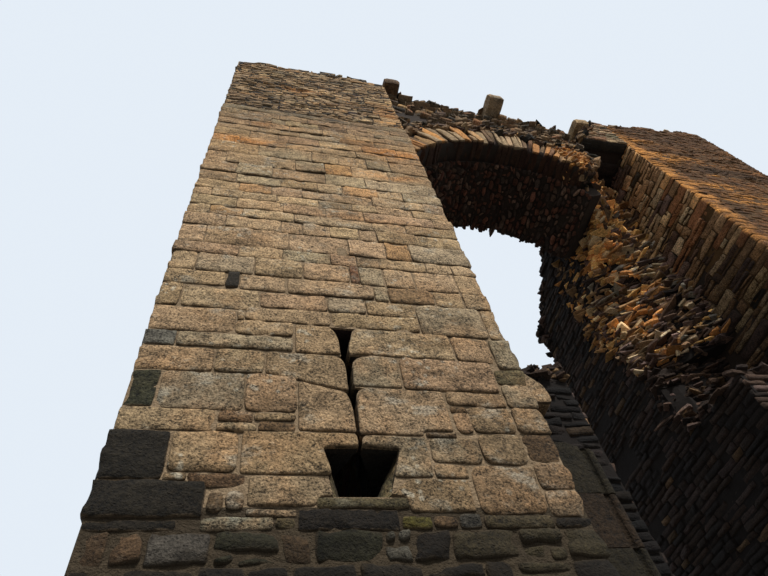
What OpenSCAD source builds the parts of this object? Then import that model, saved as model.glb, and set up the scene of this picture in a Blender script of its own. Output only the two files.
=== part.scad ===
// Ruined gate block of a castle keep: two square towers, a robbed gateway between
// them, and the high vault that still ties the towers together.
// Millimetres, +Z up, the gate faces -Y, the origin is on the ground at the middle.

/* [Towers] */
// Width of each tower across the front
tower_w = 3000; // [2500:50:3600]
// Depth of each tower from front to rear
tower_d = 5200; // [4700:50:6200]
// Clear distance between the two towers
gate_gap = 5000; // [4200:50:6000]
// Height of the front walls where they still stand
top_z = 14000; // [12800:100:16800]
// Height where the dressed ashlar ends and the thin rubble crown starts
crown_z = 11000; // [9600:100:12000]
// Height of the rubble-faced foot below the arrow slit
foot_z = 3640; // [3000:20:4400]
// Thickness of the front walls
front_t = 900; // [750:10:1100]
// Thickness of the side walls
side_t = 800; // [650:10:950]
// Thickness of the rear walls
rear_t = 800; // [650:10:1000]
// How far the rubble crown is set back from the ashlar face
crown_back = 30; // [10:5:60]

/* [Chambers] */
// Level of the chamber floor
floor_z = 2600; // [2000:50:3000]
// Thickness of the floor paving
floor_t = 150; // [80:10:250]
// Width of the rear doorway
door_w = 800; // [650:10:950]
// Height of the rear doorway
door_h = 1900; // [1700:20:2200]
// Thickness of the lintel over the rear doorway
lintel_t = 260; // [180:10:400]
// How far the lintel bears on each side of the doorway
lintel_bearing = 220; // [120:10:260]

/* [Arrow slit] */
// Width of the slit above its fishtail base
slit_w = 40; // [36:2:70]
// Width that the slit reaches below its flared head
slit_head_w = 96; // [80:2:130]
// How far the slit leans away from the gate over its height
slit_lean = 40; // [0:5:45]
// Height of the slit from sill to head
slit_h = 1660; // [1400:20:2000]
// Width of the flared head of the slit
flare_w = 236; // [160:2:300]
// Height over which the head flares
flare_h = 400; // [250:10:500]
// Width of the fishtail base at its top
fishtail_top_w = 540; // [400:10:700]
// Width of the fishtail base at the sill
fishtail_sill_w = 360; // [240:10:500]
// Height of the fishtail base
fishtail_h = 400; // [280:10:430]
// Thickness of the stone lip that the slit is cut through
lip_t = 220; // [160:10:280]
// Width of the splayed room behind the fishtail, at the inner face
embrasure_w = 950; // [700:10:1150]
// Depth at which the slit above the fishtail starts to widen
throat_y = 90; // [60:10:140]
// Depth at which its splay becomes gentler
throat_d = 320; // [260:10:400]
// Width there
throat_w = 230; // [180:10:300]
// Width at the inner face
throat_back_w = 400; // [300:10:600]
// Shift of the slit from the tower's middle towards the gate
slit_shift = 55; // [0:5:150]
// Width of the sill slab
sill_w = 520; // [420:10:640]
// Thickness of the sill slab
sill_t = 70; // [40:5:120]

/* [Gate passage] */
// Thickness of the masonry that lines the left side of the passage
left_lining_t = 1350; // [1150:10:1500]
// Thickness of the masonry that lines the right side of the passage
right_lining_t = 1000; // [800:10:1200]
// Width of a gate jamb
jamb_w = 940; // [800:10:1100]
// How far the gate jambs are set back from the tower fronts
jamb_back = 730; // [500:10:900]
// Depth of a moulded gate jamb
jamb_d = 370; // [280:10:500]
// Height at which the gate jambs are broken off
jamb_h = 4860; // [4200:20:5200]
// Width of the hollow in the jamb's moulding
hollow_w = 60; // [40:5:100]
// Width of the roll at the jamb's inner edge
roll_w = 90; // [60:5:130]
// Height of the broken lining on the left side
left_lining_h = 6150; // [5600:50:6600]
// Far end of the linings, measured from the tower fronts
lining_end = 4250; // [3800:50:4600]
// Height of the sound lining on the right side
right_lining_h = 6400; // [5800:50:7000]
// Height of the roof of the robbed pocket in the right lining
pocket_z = 7600; // [7100:50:8100]
// Height of the top of the broken core on the right side
core_z = 12200; // [11600:50:12700]

/* [High vault] */
// Height of the vault's springing line
spring_z = 9700; // [9200:50:10200]
// Set-back of the arch ring from the tower fronts
ring_back = 180; // [80:10:300]
// Depth of the arch ring from front to rear
ring_d = 450; // [350:10:600]
// Length of the voussoirs along the radius
ring_t = 800; // [500:10:850]
// Number of voussoirs in a full half circle
voussoir_n = 37; // [21:2:45]
// Width of the open joint between voussoirs
ring_joint = 14; // [8:1:24]
// Far edge of the vault, measured from the tower fronts
vault_end = 2000; // [1700:50:2300]
// Thickness of the vault behind the ring
vault_t = 450; // [350:10:600]
// Height of the rubble over the vault at the left tower
fill_left_z = 13900; // [13500:50:14300]
// Height of the rubble over the vault at the right tower
fill_right_z = 13250; // [13000:50:13500]
// Depth of the overhanging masonry beside the right tower
hood_d = 1380; // [1100:20:1500]
// Height of the overhanging masonry
hood_h = 1250; // [1000:50:1400]

/* [Corbels] */
// How far the corbels stand out beyond the tower fronts
corbel_out = 230; // [100:10:350]
// Width of a corbel
corbel_w = 340; // [240:10:420]
// Thickness of a corbel
corbel_t = 260; // [180:10:340]
// Length of the corbel's tail that lies on the rubble
corbel_tail = 620; // [450:10:800]

/* [Hidden] */

granite = [0.62, 0.54, 0.42];
granite_dark = [0.38, 0.34, 0.29];
schist = [0.40, 0.33, 0.26];
schist_lit = [0.66, 0.48, 0.28];
rubble = [0.47, 0.39, 0.30];

half_gap = gate_gap / 2;
front_y = (corbel_out - tower_d) / 2;   // places the whole model centred on the origin
sill_z = foot_z + sill_t;
head_z = sill_z + slit_h;
slit_x = tower_w / 2 - slit_shift;      // slit axis, measured from the tower's gate side
door_x = (tower_w - door_w) / 2;
lintel_x = [door_x - lintel_bearing, door_x + door_w + lintel_bearing];
lintel_z = floor_z + door_h;
lining_x = half_gap - right_lining_t;   // face of the right lining
arch_r = (gate_gap - right_lining_t) / 2;   // the vault springs from tower face to lining face
arch_x = -right_lining_t / 2;
ring_r = arch_r + ring_t;
vault_r = arch_r + vault_t;
vault_y = ring_back + ring_d;
course_h = 130;                         // step of the ragged edges
cut = 50;                               // overrun of every cutting solid
arc_n = 720;                            // fineness of the vault's circles

// Heights of n ragged steps that lean from z_a to z_b; neighbours always differ
function steps(n, z_a, z_b, rise, seed) =
    let (r = rands(-rise, rise, n, seed))
    [for (i = [0 : n - 1])
        z_a + (z_b - z_a) * (i + 0.5) / n + round(r[i]) * course_h + (i % 2) * course_h / 2];

// Outline of a wall seen from its side: flat foot, ragged head
function ragged_outline(length, z_0, heads) =
    let (n = len(heads), s = length / n)
    concat([[0, z_0]],
           [for (i = [0 : n - 1], e = [0, 1]) [(i + e) * s, heads[i]]],
           [[length, z_0]]);

// Stands an outline drawn in X and Z upright, with its thickness towards +Y
module upright(y, t) {
    translate([0, y + t, 0]) rotate([90, 0, 0]) linear_extrude(height = t) children();
}

// Stands an outline drawn in Y and Z upright, with its thickness towards +X
module endwise(x, t) {
    translate([x, 0, 0]) rotate([90, 0, 90]) linear_extrude(height = t) children();
}

// Puts a tower drawn with its gate side at x = 0 and its body towards +X in place
module tower_side(side) {
    if (side == "left") translate([-half_gap, 0, 0]) mirror([1, 0, 0]) children();
    else translate([half_gap, 0, 0]) children();
}

// Moves everything from front-plane depths to the model's own frame
module placed() {
    translate([0, front_y, 0]) children();
}

module slab(x, y, z) {
    translate([x[0], y[0], z[0]]) cube([x[1] - x[0], y[1] - y[0], z[1] - z[0]]);
}

// Towers, drawn in tower coordinates: x from the gate side, y from the front

// Everything between the walls and in the rear doorway, from one level to another
module inside(z) {
    slab([side_t, tower_w - side_t], [front_t, tower_d - rear_t], z);
    slab([door_x, door_x + door_w], [tower_d - rear_t - cut, tower_d], z);
}

module footing() {
    color(rubble) inside([0, floor_z - floor_t]);
}

module chamber_floor() {
    color(granite) inside([floor_z - floor_t, floor_z]);
}

module front_foot() {
    color(rubble) slab([0, tower_w], [0, front_t], [0, foot_z]);
}

module slit_sill() {
    color(granite)
        slab([slit_x - sill_w / 2, slit_x + sill_w / 2], [0, front_t], [foot_z, sill_z]);
}

// Middle of the slit at height h above the sill
function slit_mid(h) = slit_lean * (h - fishtail_h) / (slit_h - fishtail_h);

// Half width of the slit at height h: it widens evenly and then flares at its head
function slit_half(h) =
    let (even = (slit_w + (slit_head_w - slit_w) * (h - fishtail_h) / (slit_h - fishtail_h)) / 2,
         f = max(0, 1 - (slit_h - h) / flare_h))
    even + (flare_w / 2 - even) * (1 - sqrt(1 - f * f));

// One edge of the slit: side 1 is away from the gate, side -1 is towards it
function slit_edge(side, h) = slit_mid(h) + side * slit_half(h);

// Rounded corner of a stone beside the slit, under the bed at height h
function worn_corner(side, h, reach, drop) = concat(
    [for (i = [0 : 4]) let (a = 22.5 * i)
        [slit_edge(side, h - drop) + side * reach * (1 - cos(a)), h - drop * (1 - sin(a))]],
    [[slit_edge(side, h + 8), h + 8]]);

// Worn corners: height of the bed above the sill, reach and drop
gate_corners = [[490, 50, 45], [945, 75, 105], [1315, 145, 130]];
outer_corners = [[900, 45, 65], [1290, 65, 95]];

// Edge of the opening from the sill to the head, with its fishtail base and worn corners
function slit_side(side, corners) =
    let (n = 8, start = corners[len(corners) - 1][0] + 25)
    concat([[side * fishtail_sill_w / 2 + 25, 0], [side * fishtail_top_w / 2 - 10, fishtail_h],
            [slit_edge(side, fishtail_h), fishtail_h]],
           [for (c = corners) each worn_corner(side, c[0], c[1], c[2])],
           [for (i = [0 : n]) let (h = start + (slit_h - start) * i / n) [slit_edge(side, h), h]]);

// The slit as seen from the front
module slit_outline() {
    outer = slit_side(1, outer_corners);
    gate = slit_side(-1, gate_corners);
    polygon(concat(outer, [for (i = [len(gate) - 1 : -1 : 0]) gate[i]]));
}

// Room behind the fishtail, and above it the throat of the slit, which follows the slit's lean in three steps
module embrasure() {
    translate([0, 0, sill_z]) linear_extrude(height = fishtail_h)
        polygon([[-fishtail_top_w / 2 - 20, lip_t], [fishtail_top_w / 2 + 20, lip_t],
                 [embrasure_w / 2, front_t + cut], [-embrasure_w / 2, front_t + cut]]);
    step = (slit_h - fishtail_h) / 3;
    for (i = [0 : 2])
        let (h = fishtail_h + step * i, start = [25, 35, 75][i])
        translate([round(slit_mid(h + step / 2)), 0, sill_z + h]) linear_extrude(height = step)
            polygon([[-start, throat_y], [start, throat_y], [throat_w / 2, throat_d],
                     [throat_back_w / 2, front_t + cut], [-throat_back_w / 2, front_t + cut],
                     [-throat_w / 2, throat_d]]);
}

module slit_cheek(x) {
    color(granite) difference() {
        slab(x, [0, front_t], [foot_z, head_z]);
        translate([slit_x, 0, 0]) {
            translate([0, 0, sill_z]) upright(-cut, lip_t + 2 * cut) slit_outline();
            embrasure();
            slab([-sill_w / 2, sill_w / 2], [-cut, front_t + cut], [foot_z - cut, sill_z]);
        }
    }
}

module front_ashlar() {
    color(granite) slab([0, tower_w], [0, front_t], [head_z, crown_z]);
}

// A wall's head leans between two levels that are given from the nominal top
module front_crown(gate, out, seed) {
    color(rubble) upright(crown_back, front_t - crown_back)
        polygon(ragged_outline(tower_w, crown_z, steps(9, top_z + gate, top_z + out, 0.6, seed)));
}

module side_wall(x, front, rear, seed) {
    color(rubble) endwise(x, side_t) translate([front_t, 0])
        polygon(ragged_outline(tower_d - front_t - rear_t, 0,
            steps(8, top_z + front, top_z + rear, 1.4, seed)));
}

// Masonry beside the rear doorway, notched for the lintel's bearing
module rear_pier(x) {
    color(rubble) difference() {
        slab(x, [tower_d - rear_t, tower_d], [0, lintel_z + lintel_t]);
        slab(lintel_x, [tower_d - rear_t - cut, tower_d + cut], [lintel_z, lintel_z + lintel_t + cut]);
    }
}

module rear_lintel() {
    color(granite) slab(lintel_x, [tower_d - rear_t, tower_d], [lintel_z, lintel_z + lintel_t]);
}

module rear_upper(gate, out, seed) {
    color(rubble) upright(tower_d - rear_t, rear_t)
        polygon(ragged_outline(tower_w, lintel_z + lintel_t,
            steps(8, top_z + gate, top_z + out, 1.4, seed)));
}

// Gate passage, drawn with x = 0 at the middle of the gate

// Plan of a moulded jamb, from the tower at x = 0
module jamb_plan() {
    x_roll = jamb_w - roll_w / 2;
    difference() {
        translate([0, jamb_back]) square([jamb_w, jamb_d]);
        translate([jamb_w - roll_w - hollow_w / 2, jamb_back]) circle(d = hollow_w, $fn = 32);
        translate([x_roll, jamb_back - cut]) difference() {
            square([roll_w, cut + roll_w / 2]);
            translate([0, cut + roll_w / 2]) circle(d = roll_w, $fn = 32);
        }
    }
}

// The jamb's head is broken off in three steps that fall towards the opening
module jamb() {
    fall = 35;
    run = 110;
    color(granite_dark) difference() {
        linear_extrude(height = jamb_h) jamb_plan();
        for (i = [1 : 3])
            slab([jamb_w - run * i, jamb_w + cut], [0, jamb_back + jamb_d + cut],
                 [jamb_h - fall * (4 - i), jamb_h + cut]);
    }
}

module left_lining() {
    length = lining_end - jamb_back - jamb_d;
    color(schist) endwise(0, left_lining_t) translate([jamb_back + jamb_d, 0])
        polygon(ragged_outline(length, 0, steps(7, left_lining_h, left_lining_h - 900, 1.4, 21)));
}

module right_lining() {
    color(schist) slab([lining_x, half_gap], [jamb_back + jamb_d, lining_end], [0, right_lining_h]);
}

// Depth of the broken edge on the passage face at height z
function core_edge(z) =
    z < pocket_z ? 2300 : z < spring_z ? 2500 : z < spring_z + 1200 ? 2050 : 1500;

// Depth of the broken edge against the tower
function core_root(z) = z < pocket_z ? 1900 : hood_d - 50;

// Far end of the right mass: upright below, then set in a little and leaning forward to its head
function core_far(z) =
    z < spring_z ? lining_end : lining_end - 200 - 1.1 * max(0, z - spring_z - 1200);

// Plan of one layer of the broken core, with a jagged front
module core_plan(z, seed) {
    n = 5;
    r = rands(-110, 110, n + 1, seed);
    polygon(concat(
        [for (i = [0 : n])
            let (t = i / n)
            [half_gap - right_lining_t * t,
             core_root(z) + (core_edge(z) - core_root(z)) * t + (i % n == 0 ? 0 : r[i])]],
        [[lining_x, core_far(z)], [half_gap, core_far(z)]]));
}

// Layers of broken core between two levels, with their beds on whole millimetres
module core(z_0, z_1, n, seed) {
    beds = [for (i = [0 : n]) round(z_0 + (z_1 - z_0) * i / n)];
    color(schist_lit) for (i = [0 : n - 1])
        translate([0, 0, beds[i]]) linear_extrude(height = beds[i + 1] - beds[i])
            core_plan((beds[i] + beds[i + 1]) / 2, seed + i);
}

module right_haunch() {
    color(schist) endwise(lining_x, right_lining_t) translate([hood_d, 0])
        polygon(ragged_outline(vault_end + 250 - hood_d, core_z,
            steps(4, fill_right_z, fill_right_z - 300, 1.2, 31)));
}

hood_step = hood_h / 5;
hood_lean = right_lining_t * 0.72 / 5;

// Overhanging masonry that is left of the wall between the towers, raked back in steps
module right_hood() {
    color(granite_dark) difference() {
        upright(0, hood_d) polygon(concat(
            [[half_gap, core_z]],
            [for (i = [0 : 4], e = [0, 1]) [lining_x + i * hood_lean, core_z + (i + e) * hood_step]],
            [[half_gap, core_z + hood_h]]));
        corbel_row();
    }
}

// High vault

// Part of a disc of radius r between two angles, measured from upright
module pie(r, a_0, a_1) {
    n = 12;
    polygon(concat([[0, 0]], [for (i = [0 : n])
        let (a = a_0 + (a_1 - a_0) * i / n) 1.3 * r * [sin(a), cos(a)]]));
}

// Ring between two radii and two angles, cut off at the walls that it springs from
module arch_band(r_0, r_1, a_0, a_1) {
    intersection() {
        difference() {
            circle(r = r_1, $fn = arc_n);
            circle(r = r_0, $fn = arc_n);
        }
        pie(r_1, a_0, a_1);
        translate([-arch_r, 0]) square([2 * arch_r, 2 * r_1]);
    }
}

ring_left = -72;
ring_right = 52;
vault_right = 60;
face_recess = 35;    // the mortar bed lies back from the faces of the voussoirs
soffit_recess = 25;

// One wedge stone standing on the intrados, with its joint faces on the radii
module voussoir(pitch, short) {
    r_0 = arch_r + short / 5;
    r_1 = (ring_r - short) * cos(pitch / 2);
    w_0 = r_0 * tan(pitch / 2) - ring_joint / 2;
    w_1 = r_1 * tan(pitch / 2) - ring_joint / 2;
    polygon([[-w_0, r_0], [w_0, r_0], [w_1, r_1], [-w_1, r_1]]);
}

module arch_ring() {
    pitch = 180 / voussoir_n;
    count = floor((ring_right - ring_left) / pitch);
    r = rands(0, 90, count, 41);
    color(schist_lit) translate([arch_x, 0, spring_z]) {
        upright(ring_back + face_recess, ring_d - face_recess)
            arch_band(arch_r + soffit_recess, ring_r, ring_left, ring_left + count * pitch);
        upright(ring_back, ring_d) intersection() {
            for (i = [0 : count - 1])
                rotate(-ring_left - (i + 0.5) * pitch) voussoir(pitch, r[i]);
            translate([-arch_r, 0]) square([2 * arch_r, 2 * ring_r]);
        }
    }
}

// Rubble barrel behind the ring, in strips whose far edges are broken off unevenly
module high_vault() {
    n = 6;
    r = rands(-60, 60, n, 51);
    a = (vault_right - ring_left) / n;
    color(schist) translate([arch_x, 0, spring_z]) for (i = [0 : n - 1])
        upright(vault_y, vault_end - vault_y + r[i])
            arch_band(arch_r, vault_r, ring_left + i * a, ring_left + (i + 1) * a);
}

module arch_fill() {
    y_0 = ring_back + 60;
    color(rubble) difference() {
        upright(y_0, vault_end - 120 - y_0) translate([-half_gap, 0])
            polygon(ragged_outline(gate_gap - right_lining_t, spring_z + arch_r / 2,
                steps(13, fill_left_z, fill_right_z, 0.8, 61)));
        translate([arch_x, 0, spring_z]) {
            upright(y_0 - cut, vault_y - y_0 + cut) circle(r = ring_r, $fn = arc_n);
            upright(vault_y - cut, vault_end - vault_y + cut) circle(r = vault_r, $fn = arc_n);
        }
        corbel_row();
    }
}

// Level of a corbel's bed at x on the rubble, kept below the ragged top
function bed_z(x) =
    fill_left_z + (fill_right_z - fill_left_z) * (x + half_gap) / (gate_gap - right_lining_t) - course_h;

// Left and right corbels are broken off to half their reach
module corbel_row() {
    x = [-half_gap, -corbel_w / 2 - 100, lining_x + hood_lean];
    z = [bed_z(x[0]), bed_z(x[1]), core_z + 3 * hood_step];
    reach = [corbel_out / 2, corbel_out, corbel_out / 2];
    for (i = [0 : 2])
        slab([x[i], x[i] + corbel_w], [-reach[i], corbel_tail], [z[i], z[i] + corbel_t]);
}

module corbels() {
    color(granite_dark) corbel_row();
}

module left_tower() {
    placed() tower_side("left") children();
}

module right_tower() {
    placed() tower_side("right") children();
}

left_tower() footing();  // left_footing
left_tower() chamber_floor();  // left_chamber_floor
left_tower() front_foot();  // left_front_foot
left_tower() slit_sill();  // left_slit_sill
left_tower() slit_cheek([slit_x, tower_w]);  // left_slit_cheek_outer
left_tower() slit_cheek([0, slit_x]);  // left_slit_cheek_gate
left_tower() front_ashlar();  // left_front_ashlar
left_tower() front_crown(100, 0, 11);  // left_front_crown
left_tower() side_wall(tower_w - side_t, -300, -800, 12);  // left_outer_wall
left_tower() side_wall(0, -200, -900, 13);  // left_gate_wall
left_tower() rear_pier([door_x + door_w, tower_w]);  // left_rear_pier_outer
left_tower() rear_pier([0, door_x]);  // left_rear_pier_gate
left_tower() rear_lintel();  // left_rear_lintel
left_tower() rear_upper(-1000, -600, 14);  // left_rear_upper
right_tower() footing();  // right_footing
right_tower() chamber_floor();  // right_chamber_floor
right_tower() front_foot();  // right_front_foot
right_tower() slit_sill();  // right_slit_sill
right_tower() slit_cheek([slit_x, tower_w]);  // right_slit_cheek_outer
right_tower() slit_cheek([0, slit_x]);  // right_slit_cheek_gate
right_tower() front_ashlar();  // right_front_ashlar
right_tower() front_crown(-450, 150, 15);  // right_front_crown
right_tower() side_wall(tower_w - side_t, -100, -800, 16);  // right_outer_wall
right_tower() side_wall(0, -700, -1800, 17);  // right_gate_wall
right_tower() rear_pier([door_x + door_w, tower_w]);  // right_rear_pier_outer
right_tower() rear_pier([0, door_x]);  // right_rear_pier_gate
right_tower() rear_lintel();  // right_rear_lintel
right_tower() rear_upper(-2100, -1100, 18);  // right_rear_upper
placed() translate([-half_gap, 0, 0]) jamb();  // left_jamb
placed() translate([half_gap, 0, 0]) mirror([1, 0, 0]) jamb();  // right_jamb
placed() translate([-half_gap, 0, 0]) left_lining();
placed() right_lining();
placed() core(right_lining_h, spring_z, 11, 71);  // right_core_lower
placed() core(spring_z, core_z, 9, 91);  // right_core_upper
placed() right_haunch();
placed() right_hood();
placed() arch_ring();
placed() high_vault();
placed() arch_fill();
placed() corbels();
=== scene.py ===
import math
import bpy
import numpy as np
from mathutils import Matrix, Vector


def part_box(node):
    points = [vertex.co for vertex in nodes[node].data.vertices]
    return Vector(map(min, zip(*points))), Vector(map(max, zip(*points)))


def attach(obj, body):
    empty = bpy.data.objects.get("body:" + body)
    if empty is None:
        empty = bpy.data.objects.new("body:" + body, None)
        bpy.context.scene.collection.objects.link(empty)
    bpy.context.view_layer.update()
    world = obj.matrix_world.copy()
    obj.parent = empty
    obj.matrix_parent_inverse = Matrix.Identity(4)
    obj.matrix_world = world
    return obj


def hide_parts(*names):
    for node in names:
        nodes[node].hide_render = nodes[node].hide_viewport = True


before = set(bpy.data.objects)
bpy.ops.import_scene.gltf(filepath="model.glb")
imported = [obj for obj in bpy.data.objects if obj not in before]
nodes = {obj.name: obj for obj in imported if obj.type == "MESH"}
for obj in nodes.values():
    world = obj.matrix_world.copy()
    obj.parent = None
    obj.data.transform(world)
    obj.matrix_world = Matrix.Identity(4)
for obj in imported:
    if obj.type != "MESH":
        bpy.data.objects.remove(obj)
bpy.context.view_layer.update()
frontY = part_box("left_front_foot")[0][1]          # plane of the tower fronts; depths count from it
print("frame loaded, fronts at y", round(frontY, 3))

view = {
    "place": (-4.68, -5.42, 1.6),                 # metres
    "heading": 21.5,                              # degrees from +Y towards +X
    "pitch": 54.62,
    "roll": -12.96,
    "lens": 26.484,
}


def makeCamera():
    data = bpy.data.cameras.new("photoCamera")
    data.sensor_width = 36
    data.lens = view["lens"]
    data.clip_end = 300
    camera = bpy.data.objects.new("photoCamera", data)
    turn = [math.radians(view[key]) for key in ("heading", "pitch", "roll")]
    camera.matrix_world = (Matrix.Translation(view["place"]) @ Matrix.Rotation(-turn[0], 4, "Z")
                           @ Matrix.Rotation(math.pi / 2 + turn[1], 4, "X") @ Matrix.Rotation(turn[2], 4, "Z"))
    bpy.context.scene.collection.objects.link(camera)
    bpy.context.scene.camera = camera


makeCamera()

studio = {
    "floorSeen": 0.60,                            # pale floor, as the camera sees it
    "floorTone": 0.16,                            # what it throws back on the stones
    "skySeen": (0.78, 0.85, 0.93),
    "fill": 0.50,                                 # strength of the even light from all round
    "fillColour": (0.93, 0.96, 1.0, 1),
    "keyColour": (1.0, 0.955, 0.89),
    "keyPower": 3.5,                              # soft sun
    "keyTurn": (41, 0, 10),                       # degrees: from high in front of the gate
    "keySoftness": 10,
    "floorReach": 120,
}


def plainlySeen(tree):
    # 1 for what the camera sees straight, in a mirror or through glass
    ray = tree.nodes.new("ShaderNodeLightPath")
    total = ray.outputs["Is Camera Ray"]
    for name in ("Is Glossy Ray", "Is Transmission Ray"):
        node = tree.nodes.new("ShaderNodeMath")
        node.operation = "MAXIMUM"
        tree.links.new(total, node.inputs[0])
        tree.links.new(ray.outputs[name], node.inputs[1])
        total = node.outputs[0]
    return total


def makeStudio():
    scene = bpy.context.scene
    scene.view_settings.view_transform = "Standard"
    world = bpy.data.worlds.new("studio")
    scene.world = world
    world.use_nodes = True
    tree = world.node_tree
    tree.nodes.clear()
    out = tree.nodes.new("ShaderNodeOutputWorld")
    light = tree.nodes.new("ShaderNodeBackground")
    light.inputs["Color"].default_value = studio["fillColour"]
    light.inputs["Strength"].default_value = studio["fill"]
    sky = tree.nodes.new("ShaderNodeBackground")
    sky.inputs["Color"].default_value = (*studio["skySeen"], 1)
    mix = tree.nodes.new("ShaderNodeMixShader")
    tree.links.new(plainlySeen(tree), mix.inputs[0])
    tree.links.new(light.outputs[0], mix.inputs[1])
    tree.links.new(sky.outputs[0], mix.inputs[2])
    tree.links.new(mix.outputs[0], out.inputs[0])
    lamp = bpy.data.lights.new("softSun", "SUN")
    lamp.energy = studio["keyPower"]
    lamp.angle = math.radians(studio["keySoftness"])
    lamp.color = studio["keyColour"]
    sun = bpy.data.objects.new("softSun", lamp)
    sun.rotation_euler = [math.radians(a) for a in studio["keyTurn"]]
    scene.collection.objects.link(sun)
    mesh = bpy.data.meshes.new("floor")
    reach = studio["floorReach"]
    mesh.from_pydata([(-reach, -reach, 0), (reach, -reach, 0), (reach, reach, 0), (-reach, reach, 0)],
                     [], [(0, 1, 2, 3)])
    floor = bpy.data.objects.new("floor", mesh)
    scene.collection.objects.link(floor)
    paint = bpy.data.materials.new("paleFloor")
    paint.use_nodes = True
    tree = paint.node_tree
    tree.nodes.clear()
    out = tree.nodes.new("ShaderNodeOutputMaterial")
    mix = tree.nodes.new("ShaderNodeMixShader")
    tree.links.new(plainlySeen(tree), mix.inputs[0])
    for index, key in ((1, "floorTone"), (2, "floorSeen")):
        matt = tree.nodes.new("ShaderNodeBsdfDiffuse")
        matt.inputs["Color"].default_value = (studio[key],) * 3 + (1,)
        tree.links.new(matt.outputs[0], mix.inputs[index])
    tree.links.new(mix.outputs[0], out.inputs[0])
    mesh.materials.append(paint)


makeStudio()
print("camera and studio made")


def lattice(i, j, k, seed):
    # one repeatable value from -1 to 1 at each whole-number point, from mixed-up bits
    n = (i * 374761393 + j * 668265263 + k * 1274126177 + seed * 974711) & 0xFFFFFFFF
    n = ((n ^ (n >> 13)) * 1103515245) & 0x7FFFFFFF
    n = n ^ (n >> 16)
    return (n & 0xFFFF) / 32767.5 - 1


def softNoise(points, size, seed=0, octaves=3):
    # sum over octaves of 2^-o * lattice values mixed by 3t^2 - 2t^3 between whole-number points
    total = np.zeros(points.shape[:-1])
    for o in range(octaves):
        p = points * (2 ** o / size)
        cell = np.floor(p).astype(np.int64)
        t = p - cell
        t = t * t * (3 - 2 * t)
        value = 0
        for corner in range(8):
            a, b, c = corner & 1, corner >> 1 & 1, corner >> 2
            weight = (np.where(a, t[..., 0], 1 - t[..., 0]) * np.where(b, t[..., 1], 1 - t[..., 1])
                      * np.where(c, t[..., 2], 1 - t[..., 2]))
            value = value + weight * lattice(cell[..., 0] + a, cell[..., 1] + b, cell[..., 2] + c, seed + o)
        total += value / 2 ** o
    return total


def flatNoise(u, v, size, seed=0, octaves=2):
    # softNoise on a plane
    u, v = np.broadcast_arrays(u, v)
    return softNoise(np.stack([u, v, np.full(u.shape, 0.37 * size)], -1), size, seed, octaves)


stoneColours = {                                  # sRGB of dry stone in plain light
    "tan": (172, 146, 112), "sand": (180, 155, 121), "orange": (180, 142, 98), "grey": (164, 146, 118),
    "pink": (174, 146, 114), "brown": (128, 103, 76), "dark": (44, 39, 31), "green": (64, 64, 46),
    "pale": (168, 162, 142), "blue": (112, 108, 98), "rust": (126, 88, 60), "olive": (106, 96, 70),
    "schist": (74, 58, 48), "schistDark": (44, 35, 30), "mauve": (90, 74, 68), "schistLit": (200, 142, 84),
    "straw": (232, 182, 112), "cream": (236, 204, 154), "stain": (198, 130, 60), "soot": (42, 35, 26),
    "lichen": (166, 170, 148), "wine": (60, 38, 29), "moss": (112, 104, 52), "gold": (218, 150, 74),
}


def linear(rgb):
    # linear light of an sRGB colour
    c = np.asarray(rgb, float) / 255
    return np.where(c < 0.04045, c / 12.92, ((c + 0.055) / 1.055) ** 2.4)


tone = {name: linear(rgb) for name, rgb in stoneColours.items()}


def pickColours(count, mix, rng, spread=0.10):
    # mix is {name: weight}; each stone is a named colour times exp(spread * normal), with a slight hue shift
    weights = np.array(list(mix.values()), float)
    chosen = rng.choice(len(mix), count, p=weights / weights.sum())
    base = np.array([tone[name] for name in mix])[chosen]
    return base * np.exp(spread * rng.normal(size=(count, 1)) + 0.012 * rng.normal(size=(count, 3)))


def varied(size, spread, n, rng):
    # half sizes of n stones: size times exp(spread * normal) along each axis
    return np.array(size) * np.exp(rng.normal(0, spread, (n, 3)))


made = []                                         # name and triangles of each piece


def addPiece(name, parts, material, slot, smooth=True, sharp=None, replaced=()):
    # parts is a list of (points, quads, colours); they are joined into one mesh that stays on the ground
    points, quads, colours, first = [], [], [], 0
    for p, q, c in parts:
        p = p.reshape(-1, 3)
        points.append(p)
        quads.append(q + first)
        colours.append(c.reshape(-1, 4))
        first += len(p)
    points, quads, colours = np.concatenate(points), np.concatenate(quads), np.concatenate(colours)
    points[:, 2] = np.maximum(points[:, 2], 0)
    mesh = bpy.data.meshes.new(name)
    mesh.vertices.add(len(points))
    mesh.vertices.foreach_set("co", (points + [0, frontY, 0]).ravel())
    mesh.loops.add(quads.size)
    mesh.loops.foreach_set("vertex_index", quads.ravel().astype(np.int32))
    mesh.polygons.add(len(quads))
    mesh.polygons.foreach_set("loop_start", np.arange(len(quads), dtype=np.int32) * 4)
    mesh.update(calc_edges=True)
    tint = mesh.attributes.new("stoneTint", "FLOAT_COLOR", "POINT")
    tint.data.foreach_set("color", colours.ravel())
    mesh.polygons.foreach_set("use_smooth", np.full(len(quads), smooth))
    mesh.validate()
    if sharp is not None:
        mesh.set_sharp_from_angle(angle=sharp)
    mesh.materials.append(material)
    piece = bpy.data.objects.new(name, mesh)
    bpy.context.scene.collection.objects.link(piece)
    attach(piece, "root")
    if replaced:
        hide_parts(*replaced)
    made.append((name, 2 * len(quads)))
    print(name, 2 * len(quads), "triangles")


def copies(quads, count, size):
    # the same quads for count meshes of size points each, numbered one after another
    return (quads[None] + (np.arange(count) * size)[:, None, None]).reshape(-1, 4)


def gridQuads(rows, columns, count=1):
    # quads of count grids
    corner = np.arange(rows - 1)[:, None] * columns + np.arange(columns - 1)
    quads = np.stack([corner, corner + 1, corner + columns + 1, corner + columns], -1).reshape(-1, 4)
    return copies(quads, count, rows * columns)


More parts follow.
